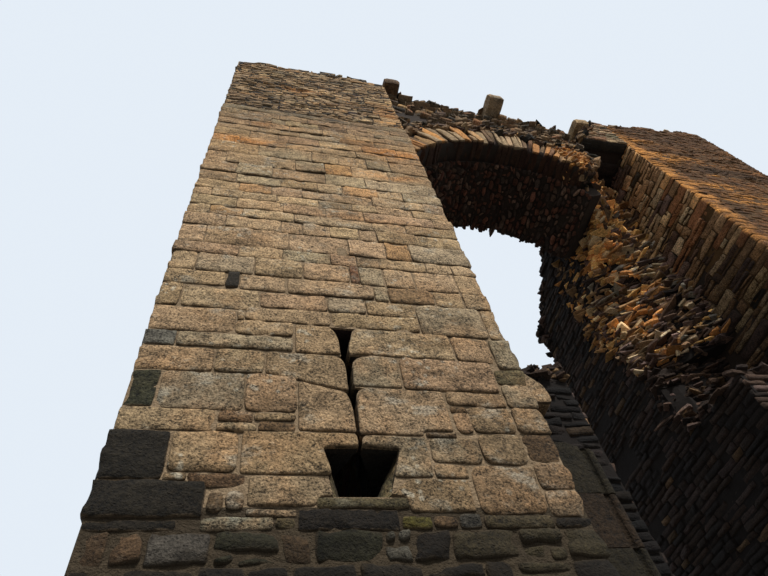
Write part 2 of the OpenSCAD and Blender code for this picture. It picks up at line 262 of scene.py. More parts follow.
def tubeQuads(rings, n):
    # quads between neighbouring closed rings of n points
    i, j = np.meshgrid(np.arange(rings - 1), np.arange(n), indexing="ij")
    k = (j + 1) % n
    return np.stack([i * n + j, i * n + k, (i + 1) * n + k, (i + 1) * n + j], -1).reshape(-1, 4)


def facesOut(place, u, v):
    # True where (du, dv, dh) of a surface is right-handed
    at = [np.array([a]) for a in (u, v, 0.0)]
    p = place(*at)[0]
    d = [place(*[a + (0.01 if i == j else 0) for j, a in enumerate(at)])[0] - p for i in range(3)]
    return np.dot(np.cross(d[0], d[1]), d[2]) > 0


smallest = (.03, .025)                            # metres: narrower or lower cushions are left out


def edgeClimb(d, arris):
    # quarter-circle climb from 0 at the joint to 1 at the arris
    t = np.clip(d / arris, 0, 1)
    return np.sqrt(1 - (1 - t) ** 2)


# Each stone is a cushion over its own rectangle of the wall: u and v run along the wall, h is proud of it.
# h = (rise + bulge*(1-p^2)(1-q^2) + tilt*(p, q) + dressing*noise) * climb(distance to joint), the border
# dives into the wall, corners draw in by the stone's rounding, and both u and v waver with smooth noise.
def cushions(place, stones, look, rng, corners=(), proud=None, stain=None):
    s = np.array([stone[:6] for stone in stones], float)
    tint = np.array([stone[6] for stone in stones], float)
    gap = look["joint"] / 2
    s[:, 0] += gap * look.get("upright", 1)
    s[:, 1] -= gap * look.get("upright", 1)
    s[:, 2] += gap
    s[:, 3] -= gap
    keep = (s[:, 1] - s[:, 0] > smallest[0]) & (s[:, 3] - s[:, 2] > smallest[1])
    s, tint = s[keep], tint[keep]
    fewest = 1 if look.get("plain") else 2
    nu, nv = (np.clip(np.round((s[:, k + 1] - s[:, k]) / look["step"]), fewest, look["most"]).astype(int)
              for k in (0, 2))
    parts = []
    for a, b in sorted(set(zip(nu.tolist(), nv.tolist()))):
        pick = (nu == a) & (nv == b)
        parts.append(cushionGroup(place, s[pick], tint[pick], a, b, look, rng, corners, proud, stain))
    return parts


def cushionGroup(place, s, tint, a, b, look, rng, corners, proud, stain):
    n = len(s)
    wide, tall = (s[:, 1] - s[:, 0])[:, None], (s[:, 3] - s[:, 2])[:, None]
    arris = np.minimum(look["arris"], 0.3 * np.minimum(wide, tall))

    def ladder(length, steps):
        middle = arris + (length - 2 * arris) * np.linspace(0, 1, steps + 1)
        rim = 0 * arris if look.get("plain") else np.concatenate([0 * arris, 0.25 * arris], 1)
        return np.concatenate([rim, middle, length - rim[:, ::-1]], 1)

    du, dv = ladder(wide, a), ladder(tall, b)
    for c in corners:                             # a column of each quoin runs up the very corner
        inside = np.where((s[:, 0] < c - 0.07) & (s[:, 1] > c + 0.07))[0]
        if len(inside):
            at = np.abs(s[inside, :1] + du[inside] - c).argmin(1)
            du[inside, at] = c - s[inside, 0]
            du[inside, at - 1] = c - s[inside, 0] - 0.02
            du[inside, at + 1] = c - s[inside, 0] + 0.02
    u = np.repeat((s[:, :1] + du)[:, None, :], dv.shape[1], 1)
    v = np.repeat((s[:, 2:3] + dv)[:, :, None], du.shape[1], 2)
    w3, t3, r3 = wide[:, :, None], tall[:, :, None], s[:, 4, None, None] * look.get("round", 1.0)
    fromU, fromV = u - s[:, 0, None, None], v - s[:, 2, None, None]
    nearU, nearV = np.minimum(fromU, w3 - fromU), np.minimum(fromV, t3 - fromV)
    p, q = 2 * fromU / w3 - 1, 2 * fromV / t3 - 1
    climb = edgeClimb(nearU, arris[:, :, None] * look.get("upright", 1)) * edgeClimb(nearV, arris[:, :, None])
    fall = np.clip(1 - nearU / r3, 0, 1) ** 2 * np.clip(1 - nearV / r3, 0, 1) ** 2
    pull = 0.42 * r3 * fall
    skew = rng.normal(0, look["skew"], (n, 4, 1, 1))
    u2 = u - np.sign(p) * pull + skew[:, 0] * q * np.minimum(t3, 0.12) + 0 * v
    v2 = v - np.sign(q) * pull + skew[:, 1] * p * np.minimum(w3, 0.3) * 0.4 + skew[:, 2] * p * q * 0.05
    v2 = v2 + s[:, 5, None, None] * (p + 1) / 2 * (1 - q) / 2
    key = rng.uniform(0, 90, (n, 1, 1)) + 0 * u
    spot = np.stack([u, v, key], -1)
    own = softNoise(spot, 0.10, 5, 3) * look["waver"]
    own2 = softNoise(spot + 31.7, 0.10, 9, 3) * look["waver"]
    nearCorner = 1.0
    for c in corners:
        nearCorner = nearCorner * np.clip(np.abs(u - c) / 0.2, 0, 1)
    u3 = u2 + (flatNoise(u, v, 0.9, 3) * look["sway"] + own) * nearCorner
    v3 = v2 + flatNoise(u, v, 1.3, 4) * look["sway"] + own2
    for c in corners:
        u3 = np.where(np.abs(u - c) < 1e-6, c, u3)
    rise = look["rise"] * (1 + look["uneven"] * rng.normal(size=(n, 1, 1)))
    tiltU, tiltV = rng.normal(0, look["tilt"], (2, n, 1, 1))
    h = (rise + look["bulge"] * (1 - p * p) * (1 - q * q) + tiltU * p + tiltV * q
         + look["dressing"] * softNoise(spot, look.get("dressingSize", 0.12), 21, 3))
    chip = np.clip(softNoise(spot, 0.09, 33, 2) - 0.2, 0, 1) * look.get("chip", 0.02)
    h = h - chip * np.exp(-np.minimum(nearU, nearV) / 0.03)
    for c in corners:
        worn = look.get("wear", 0.010) * (1 + 0.9 * own / look["waver"])
        h = h - worn * np.clip(1 - np.abs(u - c) / 0.05, 0, 1) ** 2
    h = climb * (h + look["bury"]) - look["bury"]
    if proud is not None:
        h = h + proud(u, v)
    points = place(u3, v3, h)
    quads = gridQuads(dv.shape[1], du.shape[1], n)
    middle = len(s) // 2
    if not facesOut(place, (s[middle, 0] + s[middle, 1]) / 2 + 0.003, (s[middle, 2] + s[middle, 3]) / 2):
        quads = quads[:, ::-1]
    near = np.clip(np.minimum(nearU * 1.5, nearV) / 0.03, 0, 1)
    tint = np.broadcast_to(tint[:, None, None, :], (*near.shape, 3))
    # the wall's tinting adds stains and also painted light and shade
    if stain is not None:
        tint = stain(u, v, tint)
    return points, quads, np.concatenate([tint, near[..., None]], -1)


# A stone of any outline that its hub sees whole. The outline is sampled evenly and softened, drawn in along its
# normals by the arris and then by shares towards the hub; h climbs a quarter circle over the arris.
def outlineStone(place, outline, hub, tint, look, seed, deep=0.0):
    corner = np.array(outline, float)
    if np.cross(corner - corner[0], np.roll(corner, -1, 0) - corner[0]).sum() < 0:
        corner = corner[::-1]
    side = np.linalg.norm(np.roll(corner, -1, 0) - corner, axis=1)
    reach = np.concatenate([[0], np.cumsum(side)])
    n = 2 * int(reach[-1] / look["step"] / 2 + 4)
    at = np.linspace(0, reach[-1], n, endpoint=False)
    closed = np.concatenate([corner, corner[:1]])
    rim = np.stack([np.interp(at, reach, closed[:, k]) for k in (0, 1)], -1)
    rim = 0.5 * rim + 0.25 * (np.roll(rim, 1, 0) + np.roll(rim, -1, 0))
    along = np.roll(rim, -1, 0) - np.roll(rim, 1, 0)
    inward = np.stack([-along[:, 1], along[:, 0]], -1) / np.linalg.norm(along, axis=1, keepdims=True)
    rim = rim - inward * look.get("grow", 0)
    arris = look["arris"]
    depths = np.array([0, 0.12, 0.3, 0.6, 1.0]) * arris
    shares = np.array([0.10, 0.22, 0.36, 0.5, 0.64, 0.78, 0.9])
    inner = rim + inward * arris
    rings = [rim + inward * d for d in depths] + [inner + (np.array(hub) - inner) * t for t in shares]
    rings = np.concatenate(rings).reshape(-1, n, 2)
    u, v = rings[..., 0], rings[..., 1]
    spot = np.stack([u, v, np.full(u.shape, 3.1 * seed)], -1)
    waver = softNoise(spot, 0.10, 5, 2) * 0.002
    level = look["rise"] + look["dressing"] * softNoise(spot, look.get("dressingSize", 0.12), 21, 3)
    climb = np.concatenate([edgeClimb(depths, arris), np.ones(len(shares))])[:, None]
    h = climb * (level + look["bury"]) - look["bury"]
    if deep:                                      # the rim goes back into the wall
        reveal = -look["bury"] - (deep - look["bury"]) * np.array([1, .72, .45, .2])
        u, v, waver = (np.concatenate([np.repeat(a[:1], 4, 0), a]) for a in (u, v, waver))
        h = np.concatenate([reveal[:, None] + 0 * h[:1], h])
    points = place(u + waver, v + waver, h)
    middle = place(np.array([hub[0]]), np.array([hub[1]]), level[-1:, 0])
    rows = len(u)
    quads = tubeQuads(rows, n)
    last = (rows - 1) * n + np.arange(0, n, 2)
    cap = np.stack([last, last + 1, (last - last[0] + 2) % n + last[0], np.full(n // 2, rows * n)], -1)
    quads = np.concatenate([quads, cap])
    if not facesOut(place, hub[0], hub[1]):
        quads = quads[:, ::-1]
    near = np.concatenate([np.clip(depths / 0.03, 0, 1), np.ones(len(shares))])
    near = np.concatenate([np.full(rows - len(near), .6), near])
    # painted shade on the rims carried back into the wall: darker deeper in
    revealShade = np.ones((rows, n, 1))
    if deep > .1:
        revealShade[:4, :, 0] = np.array([.10, .16, .35, .65])[:, None]
    elif deep:                                    # soffits stay dark, sides take some light
        revealShade[:4, :, 0] = np.where(np.abs(inward[:, 1]) > .7, .05, .7) * np.array([.8, .9, 1, 1.15])[:, None]
    colour = np.concatenate([np.broadcast_to(tint, (rows, n, 3)) * revealShade,
                             np.broadcast_to(near[:, None, None], (rows, n, 1))], -1).reshape(-1, 4)
    points = np.concatenate([points.reshape(-1, 3), middle.reshape(1, 3)])
    return points, quads, np.concatenate([colour, [[*tint, 1.0]]])


def cubeShell(nx, ny, nz):
    # the six faces of the cube from -1 to 1 as grids of quads, with shared corners merged, facing out
    points, quads, first = [], [], 0
    for axis, (na, nb) in enumerate(((ny, nz), (nz, nx), (nx, ny))):
        for side in (-1, 1):
            a, b = np.meshgrid(np.linspace(-1, 1, na + 1), np.linspace(-1, 1, nb + 1))
            face = np.stack([np.full(a.size, float(side)), a.ravel(), b.ravel()], -1)
            points.append(np.roll(face, axis, 1))
            q = gridQuads(nb + 1, na + 1)
            quads.append((q if side > 0 else q[:, ::-1]) + first)
            first += a.size
    points, quads = np.concatenate(points), np.concatenate(quads)
    merged, back = np.unique(np.round(points, 5), axis=0, return_inverse=True)
    return merged, back.reshape(-1)[quads]


def placed(shape, quads, centres, turns, colours):
    # each stone's own points turned by its axes and moved to its centre, with its quads and its colour
    n, size = shape.shape[:2]
    points = np.einsum("npc,ndc->npd", shape, turns) + np.asarray(centres)[:, None, :]
    colour = np.ones((n, size, 4))
    colour[..., :3] = colours[:, None, :]
    return points.reshape(-1, 3), copies(quads, n, size), colour.reshape(-1, 4)


# A block is a rounded cube p / |p|_n cut by a few random planes, then stretched, roughened with noise,
# turned by its own axes and moved to its own centre.
def blocks(centres, halves, turns, colours, rng, shell, power=7.0, cuts=5, depth=(0.72, 1.05), rough=0.07):
    base, quads = shell
    n = len(centres)
    q = base / (np.abs(base) ** power).sum(1, keepdims=True) ** (1 / power)
    planes = rng.normal(size=(n, cuts, 3))
    planes /= np.linalg.norm(planes, axis=2, keepdims=True)
    planes /= np.abs(planes).sum(2, keepdims=True) ** 0.5
    away = rng.uniform(*depth, (n, cuts))
    dots = np.einsum("pc,nkc->npk", q, planes)
    scale = np.minimum(1, np.where(dots > 0.05, away[:, None, :] / np.maximum(dots, 0.05), 9).min(2))
    shape = q[None] * scale[..., None]
    halves = np.asarray(halves, float)[:, None, :]
    local = shape * halves
    spot = local + rng.uniform(0, 80, (n, 1, 3))
    shake = np.stack([softNoise(spot + 17.3 * i, 0.16, 50 + i, 2) for i in range(3)], -1)
    return placed(local + shake * rough * np.minimum(halves, 0.2), quads, centres, turns, colours)


# A slab is a flat broken stone: four uneven corners, some struck off short, and a point a little proud of
# each side between them, carried through four levels whose outer two are drawn in for the arris, each end
# closed on a hub.
def slabs(centres, halves, turns, colours, rng, bevel=0.07, jag=(0.80, 1.12), struck=0.35):
    n, c = len(centres), 8
    angle = np.pi / 4 + np.pi / 2 * np.arange(4) + rng.uniform(-0.24, 0.24, (n, 4))
    reach = 1.36 * rng.uniform(*jag, (n, 4))
    reach = reach * np.where(rng.uniform(size=(n, 4)) < struck, rng.uniform(.52, .85, (n, 4)), 1)
    corner = np.stack([reach * np.cos(angle), reach * np.sin(angle)], -1)
    middle = (corner + np.roll(corner, -1, 1)) / 2 * rng.uniform(0.96, 1.16, (n, 4, 1))
    outline = np.stack([corner, middle], 2).reshape(n, c, 2)
    levels = np.array([-1, -0.7, 0.7, 1.0])[None, :, None]
    draw = np.array([1 - bevel, 1, 1, 1 - bevel])[None, :, None] * rng.uniform(0.93, 1.04, (n, 4, c))
    ringX, ringY = outline[:, None, :, 0] * draw, outline[:, None, :, 1] * draw
    tipX, tipY = rng.normal(0, 0.35, (2, n, 1, 1))
    ringZ = levels * rng.uniform(0.80, 1.08, (n, 4, c)) + tipX * ringX * levels + tipY * ringY
    shape = np.stack([ringX, ringY, ringZ], -1).reshape(n, 4 * c, 3)
    hubs = np.stack([shape[:, :c].mean(1), shape[:, -c:].mean(1)], 1)
    shape = np.concatenate([shape, hubs], 1) * np.asarray(halves, float)[:, None, :]
    pair = np.arange(0, c, 2)
    bottom = np.stack([pair, np.full(4, 4 * c), (pair + 2) % c, pair + 1], -1)
    top = np.stack([pair, pair + 1, (pair + 2) % c, np.full(4, c + 1)], -1) + 3 * c
    return placed(shape, np.concatenate([tubeQuads(4, c), bottom, top]), centres, turns, colours)


def turnsFrom(yaw, pitch, roll):
    # rotation matrices Rz(yaw) Ry(pitch) Rx(roll) for whole arrays of angles
    cz, sz, cy, sy, cx, sx = (f(a) for a in (yaw, pitch, roll) for f in (np.cos, np.sin))
    zero, one = np.zeros_like(cz), np.ones_like(cz)
    rz = np.stack([cz, -sz, zero, sz, cz, zero, zero, zero, one], -1).reshape(-1, 3, 3)
    ry = np.stack([cy, zero, sy, zero, one, zero, -sy, zero, cy], -1).reshape(-1, 3, 3)
    rx = np.stack([one, zero, zero, zero, cx, -sx, zero, sx, cx], -1).reshape(-1, 3, 3)
    return rz @ ry @ rx


def newGroup(name, inputs, outputs):
    group = bpy.data.node_groups.new(name, "ShaderNodeTree")
    for label, kind, value in inputs:
        socket = group.interface.new_socket(label, in_out="INPUT", socket_type="NodeSocket" + kind)
        if value is not None:
            socket.default_value = value
    for label, kind in outputs:
        group.interface.new_socket(label, in_out="OUTPUT", socket_type="NodeSocket" + kind)
    return group, group.nodes.new("NodeGroupInput"), group.nodes.new("NodeGroupOutput")


class Wires:
    # short calls for the node types that are used again and again
    def __init__(self, tree):
        self.tree = tree

    def put(self, socket, value):
        if isinstance(value, bpy.types.NodeSocket):
            self.tree.links.new(value, socket)
        elif value is not None:
            socket.default_value = value

    def math(self, kind, a, b=None):
        node = self.tree.nodes.new("ShaderNodeMath")
        node.operation = kind
        self.put(node.inputs[0], a)
        self.put(node.inputs[1], b)
        return node.outputs[0]

    def sum(self, *terms):
        # terms are (value, weight)
        total = None
        for value, weight in terms:
            part = self.math("MULTIPLY", value, weight)
            total = part if total is None else self.math("ADD", total, part)
        return total

    def product(self, *factors):
        total = factors[0]
        for factor in factors[1:]:
            total = self.math("MULTIPLY", total, factor)
        return total

    def mix(self, factor, a, b, kind="MIX"):
        node = self.tree.nodes.new("ShaderNodeMix")
        node.data_type = "RGBA"
        node.blend_type = kind
        self.put(node.inputs["Factor"], factor)
        self.put(node.inputs[6], a)
        self.put(node.inputs[7], b)
        return node.outputs[2]

    def times(self, a, b):
        return self.mix(1.0, a, b, "MULTIPLY")

    def group(self, group, **values):
        node = self.tree.nodes.new("ShaderNodeGroup")
        node.node_tree = group
        for label, value in values.items():
            self.put(node.inputs[label], value)
        return node

    def noise(self, vector, scale, detail=3.0, rough=0.55, out=0):
        node = self.tree.nodes.new("ShaderNodeTexNoise")
        self.put(node.inputs["Vector"], vector)
        self.put(node.inputs["Scale"], scale)
        self.put(node.inputs["Detail"], detail)
        self.put(node.inputs["Roughness"], rough)
        return node.outputs[out]

    def cells(self, vector, scale, feature="F1", out="Distance"):
        node = self.tree.nodes.new("ShaderNodeTexVoronoi")
        node.feature = feature
        self.put(node.inputs["Vector"], vector)
        self.put(node.inputs["Scale"], scale)
        return node.outputs[out]

    def span(self, value, low, high, toLow=0.0, toHigh=1.0):
        node = self.tree.nodes.new("ShaderNodeMapRange")
        node.interpolation_type = "SMOOTHSTEP"
        for index, number in enumerate((value, low, high, toLow, toHigh)):
            self.put(node.inputs[index], number)
        return node.outputs[0]

    def stretch(self, vector, scale):
        node = self.tree.nodes.new("ShaderNodeMapping")
        node.inputs["Scale"].default_value = scale
        self.put(node.inputs["Vector"], vector)
        return node.outputs[0]

    def split(self, vector):
        node = self.tree.nodes.new("ShaderNodeSeparateXYZ")
        self.put(node.inputs[0], vector)
        return node.outputs


def makeGrain():
    # crystals, knobs and pits of weathered stone: a colour factor, and a height in metres
    group, start, end = newGroup("stoneGrain", [("Vector", "Vector", None), ("Grain", "Float", 1.0),
                                                ("Pits", "Float", 0.5)],
                                 [("Shade", "Float"), ("Height", "Float")])
    w = Wires(group)
    p = start.outputs["Vector"]
    crystal = w.noise(p, 58, 3, 0.75)
    knob = w.noise(p, 19, 4, 0.70)
    broad = w.noise(w.stretch(p, (1, 1, 1.3)), 4.6, 6, 0.70)
    flaw = w.span(w.noise(w.stretch(p, (1, 1, 1.7)), 10, 4, 0.6), 0.62, 0.72)
    shade = w.sum((w.span(crystal, 0.36, 0.50, -0.55, 0.0), 1.0),
                  (w.span(crystal, 0.52, 0.66, 0.0, 0.50), 1.0),
                  (w.math("SUBTRACT", knob, 0.5), 1.5), (w.math("SUBTRACT", broad, 0.5), 1.3), (flaw, -0.30))
    shade = w.math("MAXIMUM", w.math("ADD", 1.0, w.math("MULTIPLY", shade, start.outputs["Grain"])), 0.12)
    pit = w.product(w.span(w.cells(p, 38), 0.10, 0.34, 1.0, 0.0), w.span(w.noise(p, 9, 2), 0.48, 0.60),
                    start.outputs["Pits"])
    shade = w.math("MULTIPLY", shade, w.math("SUBTRACT", 1.0, w.math("MULTIPLY", pit, 0.5)))
    w.put(end.inputs["Shade"], shade)
    height = w.sum((knob, 0.026), (crystal, 0.009), (broad, 0.030), (pit, -0.010), (flaw, -0.010))
    w.put(end.inputs["Height"], height)
    return group


def makeWeather():
    # patches of iron stain, grey crust, lichen spots and soot-like grime over a stone's own colour
    group, start, end = newGroup("stoneWeather", [("Vector", "Vector", None), ("Color", "Color", None),
                                                  ("Stain", "Float", 0.4), ("Crust", "Float", 0.4),
                                                  ("Lichen", "Float", 0.3), ("Grime", "Float", 0.3)],
                                 [("Color", "Color"), ("Height", "Float")])
    w = Wires(group)
    p, colour = start.outputs["Vector"], start.outputs["Color"]
    grey = group.nodes.new("ShaderNodeRGBToBW")
    w.put(grey.inputs[0], colour)
    bright = w.span(grey.outputs[0], 0.02, 0.12)
    # share, height of its patches, scale, detail and roughness of their noise, where they start and are full
    for key, tall, scale, detail, rough, low, high, paint, kind in (
            ("Stain", 1.0, 2.1, 6, 0.66, 0.46, 0.66, (0.40, 0.235, 0.115, 1), "MIX"),
            ("Lichen", 1.5, 3.3, 6, 0.68, 0.55, 0.68, (0.33, 0.325, 0.27, 1), "MIX"),
            ("Crust", 1.9, 1.8, 8, 0.74, 0.48, 0.64, (0.36, 0.35, 0.31, 1), "MULTIPLY"),
            ("Grime", 2.2, 3.4, 7, 0.72, 0.52, 0.70, (0.16, 0.15, 0.12, 1), "MULTIPLY")):
        patches = w.span(w.noise(w.stretch(p, (1, 1, tall)), scale, detail, rough), low, high)
        share = w.math("MULTIPLY", patches, start.outputs[key])
        if kind == "MIX":                         # pale growth and rust don't lighten dark stones
            share = w.math("MULTIPLY", share, bright)
        colour = w.mix(share, colour, paint, kind)
    spots = w.product(w.span(w.cells(p, 15, "SMOOTH_F1"), 0.18, 0.34, 1.0, 0.0),
                      w.span(w.noise(p, 2.6, 3), 0.54, 0.64), start.outputs["Lichen"], bright)
    colour = w.mix(spots, colour, (0.44, 0.43, 0.35, 1))
    w.put(end.inputs["Color"], colour)
    w.put(end.inputs["Height"], w.math("MULTIPLY", spots, 0.002))
    return group


grain, weather = makeGrain(), makeWeather()


def startMaterial(name, roughness):
    material = bpy.data.materials.new(name)
    material.use_nodes = True
    tree = material.node_tree
    shader = tree.nodes["Principled BSDF"]
    shader.inputs["Roughness"].default_value = roughness
    shader.inputs["Specular IOR Level"].default_value = 0.2
    place = tree.nodes.new("ShaderNodeTexCoord").outputs["Object"]
    return material, Wires(tree), shader, place


def surface(w, shader, colour, height):
    # colour, and a bump whose height is in metres
    w.put(shader.inputs["Base Color"], colour)
    node = w.tree.nodes.new("ShaderNodeBump")
    node.inputs["Distance"].default_value = 1.0
    node.inputs["Strength"].default_value = 1.0
    w.put(node.inputs["Height"], height)
    w.put(shader.inputs["Normal"], node.outputs[0])


mortars = {                                       # dark and light of each mortar
    "lime": ((0.15, 0.106, 0.062, 1), (0.37, 0.275, 0.175, 1)),
    "foot": ((0.022, 0.017, 0.011, 1), (0.080, 0.060, 0.037, 1)),
    "warm": ((0.040, 0.021, 0.008, 1), (0.12, 0.064, 0.024, 1)),
    "shade": ((0.004, 0.003, 0.0025, 1), (0.013, 0.0095, 0.008, 1)),
    "earth": ((0.014, 0.010, 0.008, 1), (0.042, 0.030, 0.022, 1)),
}


def stoneMaterial(name, stain, crust, lichen, grime, crystals, smear, mortar="lime", smearWide=0.40,
                  jointShade=0.5, bedding=0.0, ledge=0.0):
    # stone colour from the piece's own attribute, whose alpha runs from 0 at a joint to 1 inside the stone
    material, w, shader, p = startMaterial(name, 0.9)
    tint = w.tree.nodes.new("ShaderNodeAttribute")
    tint.attribute_name = "stoneTint"
    aged = w.group(weather, Vector=p, Color=tint.outputs["Color"], Stain=stain, Crust=crust,
                   Lichen=lichen, Grime=grime)
    grains = w.group(grain, Vector=p, Grain=crystals, Pits=0.7)
    colour = w.times(aged.outputs["Color"], grains.outputs["Shade"])
    height = w.math("ADD", grains.outputs["Height"], aged.outputs["Height"])
    if bedding:                                   # split layers of schist, along the beds
        layers = w.noise(w.stretch(p, (1.0, 1.0, 9.0)), 7.0, 4, 0.6)
        colour = w.times(colour, w.span(layers, 0.3, 0.7, 1 - 0.45 * bedding, 1 + 0.3 * bedding))
        height = w.math("ADD", height, w.math("MULTIPLY", layers, 0.016 * bedding))
    edge = w.sum((tint.outputs["Alpha"], 1.0), (w.math("SUBTRACT", w.noise(p, 16, 4), 0.5), 0.9))
    smeared = w.math("MULTIPLY", w.span(edge, 0.10, smearWide, 1.0, 0.0), smear)
    colour = w.mix(smeared, colour, w.mix(w.noise(p, 40, 3, 0.7), *mortars[mortar]))
    line = w.product(w.span(tint.outputs["Alpha"], 0.02, 0.26, 1.0, 0.0), jointShade,
                     w.span(w.noise(p, 5, 4, 0.7), 0.34, 0.50))
    colour = w.mix(line, colour, (0.035, 0.025, 0.016, 1))
    if ledge:                                     # a darker band below the ledge of the crown
        z = w.split(p)[2]
        wander = w.sum((z, 1.0), (w.math("SUBTRACT", w.noise(p, 2.4, 4, 0.65), 0.5), 1.1))
        ledgeBand = w.product(w.span(wander, 10.45, 10.95), w.span(z, 10.98, 11.06, 1.0, 0.0), ledge)
        colour = w.mix(ledgeBand, colour, (0.055, 0.045, 0.030, 1))
    surface(w, shader, colour, height)
    return material


# name, then shares of stain, crust, lichen and grime, strength of the crystals, and mortar smeared over
# the edges
granite = stoneMaterial("granite", 0.45, 0.50, 0.45, 0.50, 1.4, 0.35, jointShade=0.95, ledge=0.3)
footStone = stoneMaterial("footRubble", 0.04, 0.60, 0.22, 0.70, 1.0, 0.7, "foot", smearWide=0.62)
crownStone = stoneMaterial("crownRubble", 0.40, 0.40, 0.30, 0.50, 1.2, 0.6, jointShade=0.6, bedding=0.45)
warmStone = stoneMaterial("warmRubble", 0.20, 0.40, 0.0, 0.55, 1.2, 0.5, "warm", jointShade=0.8, bedding=0.45)
gateStone = stoneMaterial("gateRubble", 0.10, 0.30, 0.12, 0.30, 1.5, 0.15, "earth", jointShade=1.0, bedding=0.35)
schistStone = stoneMaterial("schist", 0.06, 0.15, 0.05, 0.45, 0.8, 0.15, "shade", bedding=0.8)
litSchist = stoneMaterial("brokenSchist", 0.30, 0.05, 0.10, 0.10, 0.8, 0.0, bedding=0.5)
jambStone = stoneMaterial("jambGranite", 0.0, 0.50, 0.0, 0.50, 1.3, 0.15, "foot")

towers = {
    "half": 5.5, "gate": 2.5, "depth": 5.2,       # outer face, gate face and depth of the towers
    "front": .9, "crown": 11.0, "crownBack": 0.03, "foot": 3.49,
    "turns": (0.0, 3.0, 8.2, 11.2, 16.4),         # corners on the path round a tower, from its outer front one
    "slit": -3.945,                               # middle of the slit, as it lies in the left front
}


def mortarMaterial(kind, wallInside=False):
    # mortar with grit; inside a tower, where the faces carry no stones of their own, it shows coursed rubble,
    # painted dark within the front wall as painted shade
    material, w, shader, p = startMaterial(kind + "Mortar", 0.95)
    grit = w.noise(p, 60, 3, 0.7)
    body = w.noise(p, 5, 4, 0.6)
    colour = w.times(w.mix(body, *mortars[kind]), w.span(grit, 0.3, 0.7, 0.75, 1.2))
    height = w.sum((grit, 0.006), (body, 0.02))
    if wallInside:
        x, y, z = w.split(p)[:3]
        x = w.math("ABSOLUTE", x)
        inside = w.product(w.math("GREATER_THAN", x, towers["gate"] + 0.02),
                           w.math("LESS_THAN", x, towers["half"] - 0.02),
                           w.math("GREATER_THAN", y, frontY + 0.02),
                           w.math("LESS_THAN", y, frontY + towers["depth"] - 0.02))
        wavy = w.tree.nodes.new("ShaderNodeVectorMath")
        wavy.operation = "ADD"
        w.put(wavy.inputs[0], w.stretch(p, (3.0, 3.0, 6.4)))
        w.put(wavy.inputs[1], w.noise(p, 4, out="Color"))
        stones = wavy.outputs[0]
        gapMask = w.span(w.cells(stones, 1.0, "DISTANCE_TO_EDGE"), 0.03, 0.12)
        varying = w.mix(0.75, w.cells(stones, 1.0, "F1", "Color"), (0.5, 0.5, 0.5, 1))
        own = w.times((0.42, 0.325, 0.225, 1), varying)
        crystals = w.group(grain, Vector=p, Grain=1.0, Pits=0.6)
        own = w.times(own, crystals.outputs["Shade"])
        behind = w.span(y, frontY + 0.01, frontY + 0.22, 0.10, 0.02)   # painted shade within the front wall, darker deeper in
        behind = w.math("MAXIMUM", behind, w.math("GREATER_THAN", y, frontY + towers["front"] + 0.005))
        mask = w.math("MULTIPLY", gapMask, inside)
        colour = w.mix(mask, colour, own)
        around = w.math("SUBTRACT", 1.0, w.math("MULTIPLY", inside, w.math("SUBTRACT", 1.0, behind)))
        colour = w.times(colour, around)
        height = w.sum((height, 1.0), (mask, 0.035), (crystals.outputs["Height"], 1.0))
    surface(w, shader, colour, height)
    return material


mortarOf = {kind: mortarMaterial(kind, kind in ("lime", "foot")) for kind in mortars}
mortarPlaces = [                                  # the first that a node's name holds; the others have lime
    ("shade", ("lining", "core")),
    ("earth", ("haunch", "hood", "vault", "ring", "fill", "jamb", "corbel", "right_gate_wall")),
    ("warm", ("right_front_crown", "right_front_ashlar")),
    ("foot", ("front_foot",)),
    ("lime", ("",)),
]
for name, node in nodes.items():
    kinds = [kind for kind, keys in mortarPlaces if any(key in name for key in keys)]
    node.data.materials.clear()
    node.data.materials.append(mortarOf[kinds[0]])
print("materials made")


def headProfile(name, axis):
    # top of a node along one axis: for a position, the highest up-facing triangle that spans it
    mesh = nodes[name].data
    points = np.empty(len(mesh.vertices) * 3)
    mesh.vertices.foreach_get("co", points)
    points = points.reshape(-1, 3)
    mesh.calc_loop_triangles()
    corner = np.empty(len(mesh.loop_triangles) * 3, dtype=np.int32)
    mesh.loop_triangles.foreach_get("vertices", corner)
    tri = points[corner.reshape(-1, 3)]
    level = np.ptp(tri[:, :, 2], axis=1) < 1e-4
    up = level & (np.cross(tri[:, 1] - tri[:, 0], tri[:, 2] - tri[:, 0])[:, 2] > 0)
    low, high, z = tri[up, :, axis].min(1), tri[up, :, axis].max(1), tri[up, :, 2].mean(1)

    def top(position):
        position = np.asarray(position, float)
        hit = (position[..., None] >= low - 1e-4) & (position[..., None] <= high + 1e-4)
        return np.where(hit, z, -1).max(-1)
    return top


sideSign = {"left": -1, "right": 1}


def towerWall(side):
    # point = plan path(u) + outward normal * h, at height v; the path runs front, gate side, rear, outer side
    sign, width, depth = sideSign[side], towers["half"] - towers["gate"], towers["depth"]
    turns = np.array(towers["turns"])
    starts = np.array([(0, 0), (width, 0), (width, depth), (0, depth)], float)
    along = np.array([(1, 0), (0, 1), (-1, 0), (0, -1)], float)
    out = np.array([(0, -1), (1, 0), (0, 1), (-1, 0)], float)

    def place(u, v, h):
        u = np.mod(u, turns[-1])
        part = np.clip(np.searchsorted(turns, u + 1e-9, "right") - 1, 0, 3)
        d = u - turns[part]
        normal = out[part] + np.where((d < 1e-6)[..., None], out[part - 1], 0)
        plan = starts[part] + along[part] * d[..., None] + normal * h[..., None]
        back = towers["crownBack"] * (v > towers["crown"])
        y = np.where(part == 0, plan[..., 1] + back, np.maximum(plan[..., 1], back - 0.02))
        return np.stack([sign * (towers["half"] - plan[..., 0]), y, v + 0 * u], -1)
    return place


def headsOf(side):
    # heads of the front, gate-side, rear and outer walls; the first and third run along x, the others along y
    return [headProfile(side + name, axis) for name, axis in
            (("_front_crown", 0), ("_gate_wall", 1), ("_rear_upper", 0), ("_outer_wall", 1))]


